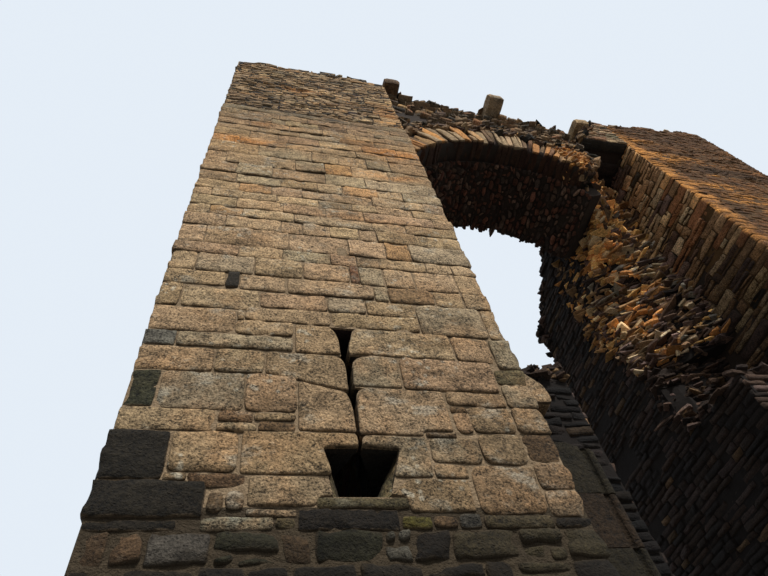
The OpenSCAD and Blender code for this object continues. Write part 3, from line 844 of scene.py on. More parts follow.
def headRound(side):
    # height of the ragged head along the same path
    sign = sideSign[side]
    front, gate, rear, outer = headsOf(side)
    _, gateTurn, rearTurn, outerTurn, full = towers["turns"]
    deep = [frontY + .91, frontY + 4.39]          # where a side wall runs between the front and the rear one

    def top(u):
        u = np.mod(u, full)
        width = gateTurn - .001
        atFront = front(sign * (towers["half"] - np.clip(u, .001, width)))
        atGate = gate(np.clip(frontY + u - gateTurn, *deep))
        atRear = rear(sign * (towers["gate"] + np.clip(u - rearTurn, .001, width)))
        atOuter = outer(np.clip(frontY + full - u, *deep))
        return np.select([u < gateTurn, u < rearTurn, u < outerTurn], [atFront, atGate, atRear], atOuter)
    return top


# Left front as read, x and z in metres: left, right, bottom, top, colour, rounding
slitRows = [
    (-5.50, -5.02, 3.49, 3.56, "dark", .03), (-4.90, -4.50, 3.49, 3.575, "lichen", .03),
    (-4.49, -4.37, 3.50, 3.57, "olive", .03), (-4.36, -3.76, 3.49, 3.63, "dark", .02),
    (-3.75, -3.56, 3.49, 3.575, "moss", .03), (-3.55, -3.40, 3.50, 3.58, "brown", .03),
    (-3.39, -3.245, 3.49, 3.59, "blue", .03), (-3.23, -2.755, 3.49, 3.58, "olive", .03),
    (-2.745, -2.50, 3.49, 3.56, "dark", .03),
    (-5.50, -4.90, 3.57, 3.81, "dark", .03), (-4.88, -4.785, 3.60, 3.745, "brown", .04),
    (-4.775, -4.67, 3.62, 3.745, "tan", .04), (-5.01, -4.665, 3.765, 3.865, "brown", .03),
    (-5.15, -5.02, 3.815, 3.865, "tan", .02), (-4.65, -4.37, 3.58, 3.63, "grey", .02),
    (-4.25, -3.685, 3.635, 3.708, "olive", .015), (-3.22, -2.755, 3.59, 3.96, "tan", .05),
    (-2.745, -2.50, 3.565, 3.76, "grey", .04), (-2.745, -2.50, 3.77, 3.985, "tan", .04),
    (-5.50, -5.155, 3.82, 4.185, "dark", .03), (-5.14, -4.735, 3.875, 4.185, "tan", .05),
    (-3.465, -3.10, 3.975, 4.19, "grey", .05), (-3.465, -3.235, 3.855, 3.965, "pink", .03),
    (-3.09, -2.755, 3.97, 4.235, "tan", .06), (-2.745, -2.50, 3.995, 4.24, "brown", .05),
    (-2.745, -2.50, 4.25, 4.50, "tan", .05),
    (-5.50, -4.90, 4.195, 4.39, "sand", .04), (-4.89, -4.63, 4.20, 4.27, "grey", .02),
    (-4.62, -4.37, 4.215, 4.29, "brown", .02), (-4.89, -4.66, 4.28, 4.375, "brown", .03),
    (-4.65, -4.37, 4.30, 4.375, "tan", .03), (-3.47, -3.24, 4.195, 4.235, "brown", .01),
    (-3.225, -3.10, 4.24, 4.43, "pink", .05), (-3.23, -3.10, 4.435, 4.50, "brown", .02),
    (-3.095, -2.755, 4.245, 4.50, "tan", .05),
    (-5.50, -5.315, 4.395, 4.74, "green", .02), (-5.30, -4.735, 4.385, 4.74, "grey", .05),
    (-4.725, -4.365, 4.385, 4.745, "pink", .04), (-3.235, -2.755, 4.505, 4.65, "tan", .04),
    (-2.745, -2.50, 4.51, 4.755, "grey", .04),
    (-5.50, -4.975, 4.75, 5.01, "tan", .03), (-4.965, -4.605, 4.755, 5.01, "sand", .04),
    (-3.55, -2.765, 4.66, 5.01, "pink", .04), (-2.755, -2.50, 4.765, 4.935, "olive", .04),
    (-5.50, -5.28, 5.02, 5.19, "blue", .02), (-5.27, -4.39, 5.02, 5.19, "grey", .03),
    (-4.85, -4.39, 5.20, 5.37, "tan", .04), (-3.03, -2.69, 5.02, 5.335, "tan", .04),
    (-2.68, -2.50, 4.945, 5.335, "grey", .04),
    (-5.50, -4.855, 5.20, 5.51, "pink", .04), (-4.845, -4.79, 5.38, 5.50, "sand", .02),
    (-4.78, -4.075, 5.38, 5.565, "tan", .04), (-4.065, -3.285, 5.375, 5.565, "tan", .03),
    (-3.275, -2.64, 5.345, 5.78, "grey", .05), (-2.63, -2.50, 5.345, 5.775, "tan", .03),
    (-5.50, -5.335, 5.52, 5.84, "tan", .03), (-5.325, -4.685, 5.52, 5.81, "sand", .05),
    (-4.675, -4.095, 5.575, 5.80, "tan", .04), (-4.085, -3.75, 5.575, 5.79, "grey", .04),
    (-3.74, -3.285, 5.575, 5.785, "tan", .03),
    (-5.50, -4.995, 5.85, 6.065, "tan", .03), (-4.985, -4.88, 5.83, 6.075, "dark", .02),
    (-4.87, -4.455, 5.82, 6.06, "sand", .04), (-4.445, -3.64, 5.81, 6.055, "sand", .05),
    (-3.63, -3.505, 5.80, 6.045, "grey", .03), (-3.495, -3.055, 5.795, 6.035, "brown", .04),
    (-3.045, -2.755, 5.79, 6.03, "tan", .04), (-2.745, -2.50, 5.785, 6.03, "tan", .03),
    (-5.50, -5.285, 6.075, 6.37, "sand", .03), (-5.275, -4.76, 6.07, 6.37, "grey", .04),
    (-4.75, -4.305, 6.07, 6.37, "tan", .03), (-4.295, -3.85, 6.065, 6.37, "tan", .04),
    (-3.84, -3.755, 6.055, 6.37, "rust", .02), (-3.745, -3.505, 6.055, 6.37, "grey", .03),
    (-3.495, -3.20, 6.045, 6.37, "sand", .03), (-3.19, -2.755, 6.04, 6.37, "sand", .03),
    (-2.745, -2.50, 6.04, 6.37, "tan", .03),
]
# Stones that shape the slit: colour, hub, and the outline with its worn corners
slitOutlines = [
    ("sand", (-3.45, 5.19), [(-3.045, 5.025), (-3.045, 5.36), (-3.859, 5.362), (-3.866, 5.335), (-3.885, 5.296),
                             (-3.912, 5.236), (-3.93, 5.169), (-3.94, 5.10), (-3.946, 5.035), (-3.79, 5.033)]),
    ("tan", (-4.20, 5.19), [(-4.375, 5.015), (-4.375, 5.365), (-4.100, 5.362), (-4.080, 5.335), (-4.055, 5.304),
                            (-4.038, 5.24), (-4.026, 5.176), (-4.024, 5.10), (-4.022, 5.015)]),
    ("grey", (-3.72, 4.84), [(-3.56, 4.67), (-3.56, 5.015), (-3.775, 5.022), (-3.819, 4.998), (-3.874, 4.965),
                             (-3.912, 4.922), (-3.926, 4.875), (-3.930, 4.78), (-3.934, 4.672)]),
    ("tan", (-4.25, 4.84), [(-4.595, 4.765), (-4.595, 5.003), (-4.060, 4.998), (-4.022, 4.970), (-4.003, 4.93),
                            (-3.994, 4.885), (-3.992, 4.76), (-3.989, 4.615), (-4.03, 4.618), (-4.36, 4.705)]),
    ("sand", (-3.60, 4.44), [(-3.25, 4.25), (-3.25, 4.648), (-3.845, 4.657), (-3.877, 4.631), (-3.902, 4.598),
                             (-3.916, 4.552), (-3.926, 4.46), (-3.930, 4.32), (-3.932, 4.207), (-3.48, 4.205),
                             (-3.475, 4.248)]),
    ("tan", (-4.17, 4.42), [(-4.355, 4.222), (-4.355, 4.692), (-4.035, 4.603), (-4.004, 4.572), (-3.986, 4.53),
                            (-3.975, 4.44), (-3.966, 4.33), (-3.964, 4.218)]),
    ("grey", (-3.575, 4.14), [(-3.480, 3.862), (-3.480, 4.193), (-3.865, 4.191), (-3.893, 4.176), (-3.915, 4.148),
                                (-3.928, 4.105), (-3.80, 4.098), (-3.668, 4.095), (-3.678, 4.05), (-3.696, 3.997),
                                (-3.729, 3.897), (-3.742, 3.858), (-3.66, 3.856)]),
    ("tan", (-4.36, 4.14), [(-4.715, 3.868), (-4.715, 4.203), (-3.966, 4.206), (-3.962, 4.15), (-3.960, 4.103),
                            (-4.08, 4.100), (-4.203, 4.095), (-4.190, 4.04), (-4.175, 3.986), (-4.159, 3.909),
                            (-4.157, 3.866), (-4.30, 3.866)]),
    ("sand", (-4.40, 3.75), [(-4.655, 3.645), (-4.655, 3.853), (-4.271, 3.855), (-4.225, 3.846), (-4.195, 3.812),
                             (-4.160, 3.761), (-4.150, 3.716), (-4.235, 3.712), (-4.262, 3.645)]),
    ("tan", (-3.50, 3.73), [(-3.255, 3.605), (-3.255, 3.843), (-3.652, 3.845), (-3.692, 3.811), (-3.741, 3.764),
                            (-3.795, 3.716), (-3.684, 3.712), (-3.672, 3.605)]),
]
# Courses above: bed, then the joints across the left front, x in metres
courses = [
    (6.37, (-4.92, -4.50, -4.02, -3.75, -3.52, -3.02, -2.74)), (6.57, (-5.27, -4.44, -3.81, -3.41, -3.14)),
    (6.92, (-5.10, -4.52, -4.29, -3.99, -3.67, -3.47, -3.02)), (7.17, (-5.29, -4.94, -4.38, -3.49, -3.10)),
    (7.38, (-5.02, -4.50, -4.02, -3.57, -2.73)), (7.61, (-5.31, -4.58, -4.10, -3.70, -3.40, -2.95)),
    (7.80, (-5.02, -4.65, -4.29, -3.43, -3.02, -2.77)), (8.04, (-5.07, -4.54, -4.10, -3.79, -3.33, -3.00)),
    (8.30, (-5.10, -4.66, -3.99, -3.46, -2.86)), (8.62, (-5.25, -4.37, -3.98, -3.62, -3.10)),
    (8.97, (-4.87, -4.15, -3.77, -3.37, -3.03)), (9.345, (-5.14, -4.50, -4.00, -3.49, -3.02)),
    (9.60, (-5.02, -4.61, -4.02, -3.38, -2.83)), (9.88, (-4.90, -4.30, -3.70, -3.15)),
    (10.10, (-5.05, -4.45, -3.95, -3.42, -2.95)), (10.33, (-4.72, -4.52, -4.00, -3.55, -3.10)),
    (10.56, (-5.10, -4.60, -4.18, -3.60, -3.20, -2.80)), (10.80, (-4.85, -4.40, -3.95, -3.45, -2.90)), (11.0, ()),
]
ashlarMix = {"tan": 6, "sand": 2.4, "orange": .6, "grey": 3.0, "pink": 2.4, "brown": .3}
footMix = {"brown": 3.6, "dark": 4.8, "olive": 3.0, "green": 2.6, "soot": 1.6, "blue": .5, "mauve": .8}
crownMix = {"tan": 3, "sand": 1.6, "orange": 1.0, "grey": 2.4, "pink": 2.2, "brown": 4.2, "cream": .6,
            "dark": 1.2}
frontRubbleMix = {"brown": 5, "orange": 1.0, "tan": 2.4, "rust": 2.4, "olive": 1.4, "dark": .4}
gateMix = {"brown": 3.5, "mauve": 2.0, "dark": .8, "grey": 2.6, "tan": 2.0, "rust": .8, "schist": 1.4}
palestMix = {"tan": 1, "orange": 1, "brown": 3, "rust": 1}
schistMix = {"schist": 4, "schistDark": 4, "mauve": 1.6, "brown": .5}
litMix = {"schistLit": 5, "straw": 3.6, "orange": 2.0, "brown": 2.0, "mauve": 1.2, "schist": 1.0, "cream": 1.6}


def oneColour(name, rng):
    return pickColours(1, {name: 1}, rng, 0.06)[0]


def spread(u0, u1, widths, rng):
    # joints or beds between u0 and u1, from random widths that are scaled to fit
    n = max(1, int(round((u1 - u0) / (sum(widths) / 2))))
    w = rng.uniform(*widths, n)
    return u0 + np.concatenate([[0], np.cumsum(w)]) * (u1 - u0) / w.sum()


def row(cuts, v0, v1, mix, rng, rounding=.02, spreadOf=.10):
    # stones of one course between neighbouring joints
    colours = pickColours(len(cuts) - 1, mix, rng, spreadOf)
    return [(cuts[i], cuts[i + 1], v0, v1, rounding, 0.0, colours[i]) for i in range(len(cuts) - 1)]


def ringOfStones(v0, v1, front, gate, far, rng, long, mixes):
    # one course round a tower, with quoins that turn each corner, long and short in turn;
    # front holds its joints, or is None where thin courses fill in later
    _, gateTurn, rearTurn, outerTurn, full = towers["turns"]
    e = (.26, .48) if long else (.48, .26)        # how far a quoin reaches past its corner
    e = [x + rng.uniform(-.05, .05) for x in (e[0], e[0], e[1], e[1])]
    stones = []
    if front is None:
        stones += row([-e[0], quoinEnds(long)[0]], v0, v1, mixes[0], rng)
        stones += row([quoinEnds(long)[1], gateTurn + e[1]], v0, v1, palestMix, rng)
    else:
        stones += row([-e[0], *front, gateTurn + e[1]], v0, v1, mixes[0], rng)
    for start, end, widths, mix in (
            (gateTurn + e[1], rearTurn - e[2], gate, mixes[1]),
            (rearTurn - e[2], rearTurn + e[2], None, mixes[2]),
            (rearTurn + e[2], outerTurn - e[3], far, mixes[2]),
            (outerTurn - e[3], outerTurn + e[3], None, mixes[2]),
            (outerTurn + e[3], full - e[0], far, mixes[2])):
        stones += row(spread(start, end, widths, rng) if widths else [start, end], v0, v1, mix, rng)
    return stones


def quoinEnds(long):
    # where the quoins of the right tower's front end, long and short in turn
    return (.26, 2.56) if long else (.36, 2.70)


def thinRows(v0, v1, u0, u1, heights, widths, mix, rng, rounding=.02, spreadOf=.16):
    # thin courses that fill a rectangle of the wall
    bed = spread(v0, v1, heights, rng)
    stones = []
    for low, high in zip(bed, bed[1:]):
        stones += row(spread(u0, u1, widths, rng), low, high, mix, rng, rounding, spreadOf)
    return stones


def broken(stones, share, rng):
    # some stones become a long thin one and two short ones
    kept = []
    for s in stones:
        if rng.uniform() > share or s[3] - s[2] < .09:
            kept.append(s)
            continue
        v = s[2] + (s[3] - s[2]) * rng.uniform(.35, .65)
        u = s[0] + (s[1] - s[0]) * rng.uniform(.3, .7)
        up = rng.uniform() < .5
        kept.append((s[0], s[1], v if up else s[2], s[3] if up else v, *s[4:]))
        for u0, u1 in ((s[0], u), (u, s[1])):
            kept.append((u0, u1, s[2] if up else v, v if up else s[3], *s[4:6], s[6] * rng.uniform(.6, 1.5)))
    return kept


def trim(stones, top):
    # stones that pass the ragged head end at it or fall away
    kept = []
    for s in stones:
        limit = top(np.linspace(s[0] + .02, s[1] - .02, 5)).min()
        if limit - s[2] > 0.035:
            kept.append((s[0], s[1], s[2], min(s[3], limit), *s[4:]))
    return kept


def cutOut(stones, hole):
    # what a rectangle u0, u1, v0, v1 takes out of a layout
    kept = []
    for s in stones:
        if s[1] <= hole[0] or s[0] >= hole[1] or s[3] <= hole[2] or s[2] >= hole[3]:
            kept.append(s)
            continue
        below, above = hole[2] - s[2], s[3] - hole[3]
        v0, v1 = s[2], s[3]
        if below > 0.05:
            kept.append((s[0], s[1], s[2], hole[2], *s[4:]))
            v0 = hole[2]
        if above > 0.05:
            kept.append((s[0], s[1], hole[3], s[3], *s[4:]))
            v1 = hole[3]
        if hole[0] - s[0] > 0.06:
            kept.append((s[0], hole[0], v0, v1, *s[4:]))
        if s[1] - hole[1] > 0.06:
            kept.append((hole[1], s[1], v0, v1, *s[4:]))
    return kept


looks = {
    "ashlar": dict(step=.040, arris=.010, joint=-.003, upright=.8, rise=.017, uneven=.20, tilt=.003, bulge=.002,
                   dressing=.008, dressingSize=.15, skew=.010, waver=.0065, sway=.008, bury=.013, chip=.035,
                   most=17),
    "coursed": dict(step=.048, arris=.009, joint=.007, upright=.35, rise=.015, uneven=.26, tilt=.003, bulge=.001,
                    dressing=.009, dressingSize=.16, skew=.006, waver=.007, sway=.010, bury=.012, chip=.035,
                    most=12, wear=.004),
    "ashlarFar": dict(plain=True, step=.085, arris=.012, joint=.009, upright=.6, rise=.015, uneven=.45, tilt=.004,
                      bulge=.002, dressing=.009, skew=.008, waver=.005, sway=.010, bury=.012, chip=.030, most=6),
    "foot": dict(step=.056, arris=.014, joint=.018, rise=.016, uneven=.6, tilt=.008, bulge=.003, dressing=.014,
                 skew=.07, waver=.016, sway=.016, bury=.014, chip=.05, most=9, round=1.4),
    "crown": dict(plain=True, step=.060, arris=.008, joint=.008, rise=.010, uneven=.50, tilt=.005, bulge=.002,
                  dressing=.006, skew=.04, waver=.009, sway=.012, bury=.014, chip=.03, most=5),
    "flush": dict(step=.06, arris=.008, joint=.009, rise=.010, uneven=.45, tilt=.003, bulge=.002, dressing=.004,
                  skew=.02, waver=.006, sway=.008, bury=.012, chip=.02, most=8),
    "thin": dict(plain=True, step=.055, arris=.009, joint=.007, rise=.008, uneven=.5, tilt=.005, bulge=.002,
                 dressing=.006, skew=.04, waver=.008, sway=.012, bury=.014, chip=.03, most=5),
    "gateRubble": dict(step=.060, arris=.010, joint=.018, rise=.034, uneven=.35, tilt=.009, bulge=.001,
                       dressing=.011, skew=.05, waver=.010, sway=.012, bury=.018, chip=.05, most=9, round=.9),
    "rubbleFar": dict(plain=True, step=.095, arris=.018, joint=.018, rise=.020, uneven=.55, tilt=.007, bulge=.006,
                      dressing=.009, skew=.05, waver=.010, sway=.012, bury=.015, chip=.03, most=4, round=1.3),
    "schist": dict(plain=True, step=.065, arris=.010, joint=.011, rise=.020, uneven=.6, tilt=.006, bulge=.002,
                   dressing=.007, skew=.03, waver=.007, sway=.010, bury=.014, chip=.03, most=6),
    "slit": dict(step=.022, arris=.020, rise=.018, dressing=.008, bury=.012, grow=.003),
}
# Broad stains on the fronts by colour, with patches of painted sunlight and a painted shadow on the right front:
# x, z, reach along, reach up, strength
stainAndLightPatches = {
    "left": [
        ("stain", [(-2.90, 9.66, .46, .30, 1.1), (-3.25, 10.1, .35, .12, .7), (-5.00, 9.45, .60, .16, .9),
                   (-4.20, 12.48, .34, .16, 1.1), (-3.05, 8.80, .60, .10, .7), (-2.70, 11.8, .22, .50, .5),
                   (-3.72, 8.73, .35, .10, .6), (-4.75, 10.25, .40, .10, .45), (-3.6, 7.45, .5, .1, .35)]),
        ("soot", [(-4.42, 11.08, .80, .13, 1.1), (-3.78, 10.93, .40, .08, 1.0), (-5.15, 11.30, .35, .35, .7),
                  (-4.15, 10.38, .22, .08, .9), (-3.55, 9.98, .60, .30, .5), (-3.20, 13.5, .40, .25, .5),
                  (-5.20, 10.3, .30, .35, .5), (-3.70, 6.55, .28, .10, .7), (-3.10, 7.3, .3, .12, .45),
                  (-2.80, 10.6, .30, .30, .45), (-4.60, 11.9, .5, .15, .45), (-4.9, 3.3, .9, .35, .6),
                  (-3.4, 3.0, .8, .4, .5), (-2.75, 3.45, .3, .2, .6)]),
    ],
    "right": [
        # gold: painted patches of sunlight on the right front
        ("gold", [(2.58, 12.0, .22, 1.6, 1.8), (2.58, 10.0, .22, 1.5, 1.8), (3.08, 11.75, .36, .26, 2.0),
                  (3.35, 11.92, .60, .10, 1.8), (2.84, 12.66, .38, .13, 1.8), (3.30, 10.36, .60, .15, 2.0),
                  (3.75, 10.0, .65, .10, 1.9), (3.50, 9.72, .55, .07, 1.7), (4.3, 9.4, .7, .10, 1.5),
                  (3.9, 11.0, .5, .07, .9)]),
        ("stain", [(4.2, 11.7, .5, .08, .9), (3.0, 13.2, .40, .10, .8)]),
        # soot: dark patches; the narrow stripe at x 3.03 is a painted shadow beside the proud quoins
        ("soot", [(3.70, 11.35, .60, .12, .9), (4.60, 12.3, .70, .35, .6), (3.03, 9.5, .06, 1.0, .95),
                  (3.90, 10.65, .60, .08, .8), (4.50, 11.2, .60, .30, .6), (3.50, 12.5, .70, .13, .6),
                  (2.95, 10.95, .30, .10, .7), (3.3, 8.9, .8, .2, .5)]),
    ],
}
# darkening by height: much darker towards the foot, a little darker just under the crown
toneHeights = [0, 2.6, 3.4, 3.62, 4.0, 4.6, 5.4, 6.4, 8.0, 9.5, 10.8, 11.0, 11.4]
toneByHeight = [.30, .32, .36, .48, .58, .66, .78, .93, .98, .86, .78, .9, 1.05]


def stainsAndPaintedLight(side):
    # each stain is strength * exp(-distance^2), broken up by noise; it pulls a stone's colour towards its own.
    # The gold patches on the right front are painted sunlight, and one narrow dark stripe there is a painted
    # shadow
    sign = sideSign[side]
    gateTurn, rearTurn = towers["turns"][1:3]

    def tinted(u, v, tint):
        rough = np.clip(.55 + .70 * flatNoise(u, v * 2.2, .30, 71, 3), 0, 1.3)
        onFront = (u < gateTurn + (.1 if side == "left" else .004)) * (u > -.3)
        tint = tint * np.interp(v, toneHeights, toneByHeight)[..., None]
        if side == "right":                       # warm dark front of nearly one colour; dark reddish gate side, with painted light and shade by height
            gate = (np.clip((u - gateTurn + .01) / .02, 0, 1) * (u < rearTurn - .1))[..., None]
            base = tint * .25 + .75 * tone["brown"]
            broad = np.exp(.85 * flatNoise(u * .7, v * 1.6, .55, 17, 3))[..., None]
            # painted light and shade on the gate side: dark low down in the passage, bright high up
            lit = np.interp(v, [6.3, 8.2, 9.6], [.30, .6, 2.2])[..., None]
            tint = base * broad * (1 - gate) * [.62, .42, .24] + tint * gate * lit * [1, .91, .82]
        else:                                     # warmer high up; darker towards the gate corner and round it, low down
            tint = tint * np.stack([np.interp(v, [7.5, 9.0], [1, low]) for low in (1.0, .95, .86)], -1)
            gateCornerLow = np.clip((u - 2) / .7, 0, 1) * np.clip((4.9 - v) / .6, 0, 1) * (u < rearTurn)
            tint = tint * (1 - .28 * gateCornerLow)[..., None]
        tint = tint * np.exp(np.clip(3.7 - v, 0, .4) * 1.6 * flatNoise(u, v, .55, 13, 3))[..., None]
        for name, spots in stainAndLightPatches[side]:
            for x, z, reach, up, strength in spots:
                along = towers["half"] - sign * x     # the same place on the path round the tower
                share = strength * np.exp(-((u - along) / reach) ** 2 - ((v - z) / up) ** 2) * rough
                share = (np.clip(share, 0, .92) * onFront)[..., None]
                tint = tint * (1 - share) + tone[name] * share
        return tint
    return tinted


def slitStones(place, rng):
    # outlined stones beside the slit; their rims are carried back through the lip as its reveals
    parts, middle, half = [], towers["slit"], towers["half"]
    for k, (name, hub, outline) in enumerate(slitOutlines):
        near = [abs(x - middle) < .30 for x, _ in outline]
        points = [(x + half + .006 * np.sign(middle - x) * by, z) for (x, z), by in zip(outline, near)]
        hub = (hub[0] + half, hub[1])
        tint = stainsAndPaintedLight("left")(np.array(hub[0]), np.array(hub[1]), oneColour(name, rng))
        deep = .07 if hub[1] == 4.14 else .21     # over the fishtail the wall itself makes the soffit
        parts.append(outlineStone(place, points, hub, tint, looks["slit"], k, deep))
    return parts


def splays(place, rng):
    # the worn sides of the fishtail: a grid between a rail in the front and a rail set back into the lip
    parts = []
    z = np.linspace(3.71, 4.105, 22)
    for front, back in (((-4.150, -4.200, -4.208, -4.206), (-4.060, -4.088, -4.116, -4.140)),
                        ((-3.800, -3.677, -3.668, -3.662), (-3.900, -3.832, -3.762, -3.690))):
        rails = [np.interp(z, (3.71, 3.83, 3.96, 4.105), rail) for rail in (front, back)]
        t = np.array([0, .12, .35, .6, .85, 1.0])
        x = rails[0][:, None] * (1 - t) + rails[1][:, None] * t
        x = np.concatenate([x, rails[0][:, None] - .02 * np.sign(rails[1] - rails[0])[:, None]], 1)
        depth = np.concatenate([-.006 + .156 * t, [.214]]) + 0 * x
        spot = np.stack([x, depth, z[:, None] + 0 * x], -1)
        depth = depth + .012 * softNoise(spot, .09, 3, 3)
        points = place(x + towers["half"] + .006 * softNoise(spot, .06, 9, 2), z[:, None] + 0 * x, -depth)
        quads = gridQuads(*x.shape)
        quads = quads if rails[1][0] < rails[0][0] else quads[:, ::-1]
        # painted shade: darker towards the back of each side and towards the head of the fishtail
        shade = np.array([1, 1, .9, .8, .6, .45, .1]) * np.interp(z, (3.71, 4.0, 4.105), (.75, .7, .3))[:, None]
        near = np.clip(np.abs(z - 3.858) / .03, 0, 1)[:, None] + 0 * x
        colour = np.concatenate([shade[..., None] * oneColour("olive", rng) * 1.25, near[..., None]], -1)
        parts.append((points, quads, colour))
    return parts


def readFront(rng):
    # the courses about the slit as read, and rows of the same heights round the other three sides
    front, sides = [], []
    ends = {"outer": [], "gate": []}
    _, gateTurn, rearTurn, outerTurn, full = towers["turns"]
    widths = (.35, .8)
    for s in slitRows:
        u0, u1 = s[0] + towers["half"], s[1] + towers["half"]
        for key, atEnd in (("outer", u0 < .001), ("gate", u1 > gateTurn - .001)):
            if atEnd:                             # a stone at a corner turns it as a quoin
                reach = (.30, .46)[len(ends[key]) % 2]
                ends[key].append((s[2], s[3], reach))
                u0, u1 = (-reach, u1) if key == "outer" else (u0, gateTurn + reach)
        front.append((u0, u1, s[2], s[3], s[5], 0.0, oneColour(s[4], rng)))
    rearQuoin, outerQuoin = rearTurn - .3, outerTurn + .4
    for v0, v1, reach in ends["outer"]:
        cuts = [rearQuoin, *spread(rearTurn + reach, outerTurn - reach, widths, rng),
                *spread(outerQuoin, full - reach, widths, rng)]
        sides += row(cuts, v0, v1, ashlarMix, rng)
    for v0, v1, reach in ends["gate"]:
        sides += row(spread(gateTurn + reach, rearQuoin, widths, rng), v0, v1, ashlarMix, rng)
    return front, sides


crownRubble = {"top": 14.55, "course": (.17, .23), "dressedTo": 12.45}
# ranges of u and v in the rear wall, and the u where the gate side's own rubble ends before the rear quoins
doorway = {"door": (9.3, 10.1, 2.6, 4.5), "lintel": (9.08, 10.32, 4.5, 4.76)}
gateEnd = 7.9


def crownRows(side, rng):
    # thin rubble on the front, flush courses round the gate corner, and rubble round the other sides
    width, full = towers["turns"][1], towers["turns"][-1]
    left = side == "left"
    front, flush, sides = [], [], []
    bed = spread(towers["crown"], crownRubble["top"], crownRubble["course"], rng)
    for k, (v0, v1) in enumerate(zip(bed, bed[1:])):
        dressed = v0 < crownRubble["dressedTo"]
        quoin = width - (rng.uniform(.34, .56) if dressed else rng.uniform(.05, .2))
        turn = width + .3 + .15 * (k % 2)
        heights, mix, vary = ((.05, .085), crownMix, .20) if left else ((.055, .10), frontRubbleMix, .12)
        front += thinRows(v0, v1, -.14, quoin, heights, (.10, .34), mix, rng, .02, vary)
        mix = ({"orange": 2, "tan": 2, "brown": 1} if left else palestMix) if dressed else crownMix
        flush += thinRows(v0, v1, quoin, turn, (.07, .11), (.25, .7), mix, rng, .02, .10)
        mix = crownMix if left else gateMix
        sides += row(spread(turn, gateEnd, (.20, .70), rng), v0, v1, mix, rng, .02, .25)
        sides += row(spread(gateEnd, full - .14, (.24, .56), rng), v0, v1, crownMix, rng, .03, .16)
    return front, flush, sides


def frontAndSides(side, rng):
    # foot in rough courses; above the slit dressed courses on the left, rubble between quoins on the right
    width = towers["turns"][1]
    foot, upper, thin = [], [], []
    bed = spread(0, towers["foot"], (.12, .26), rng)
    for k, (v0, v1) in enumerate(zip(bed, bed[1:])):
        cuts = spread(rng.uniform(.1, .3), width - rng.uniform(.1, .3), (.14, .46), rng)
        foot += ringOfStones(v0, v1, cuts, (.3, .62), (.3, .62), rng, k % 2, [footMix] * 3)
    readStones, sides = readFront(rng)
    if side == "left":
        for k, (v0, joints) in enumerate(courses[:-1]):
            cuts = [x + towers["half"] for x in joints]
            upper += ringOfStones(v0, courses[k + 1][0], cuts, (.35, .85), (.35, .85), rng, k % 2,
                                  [ashlarMix] * 3)
    else:
        bed = spread(courses[0][0], towers["crown"], (.09, .22), rng)
        for k, (v0, v1) in enumerate(zip(bed, bed[1:])):
            upper += ringOfStones(v0, v1, None, (.10, 1.0), (.35, .85), rng, k % 2,
                                  [ashlarMix, gateMix, ashlarMix])
            thin += thinRows(v0, v1, *quoinEnds(k % 2), (.07, .12), (.14, .40), frontRubbleMix, rng, .02, .12)
    return foot, readStones, sides, upper, thin


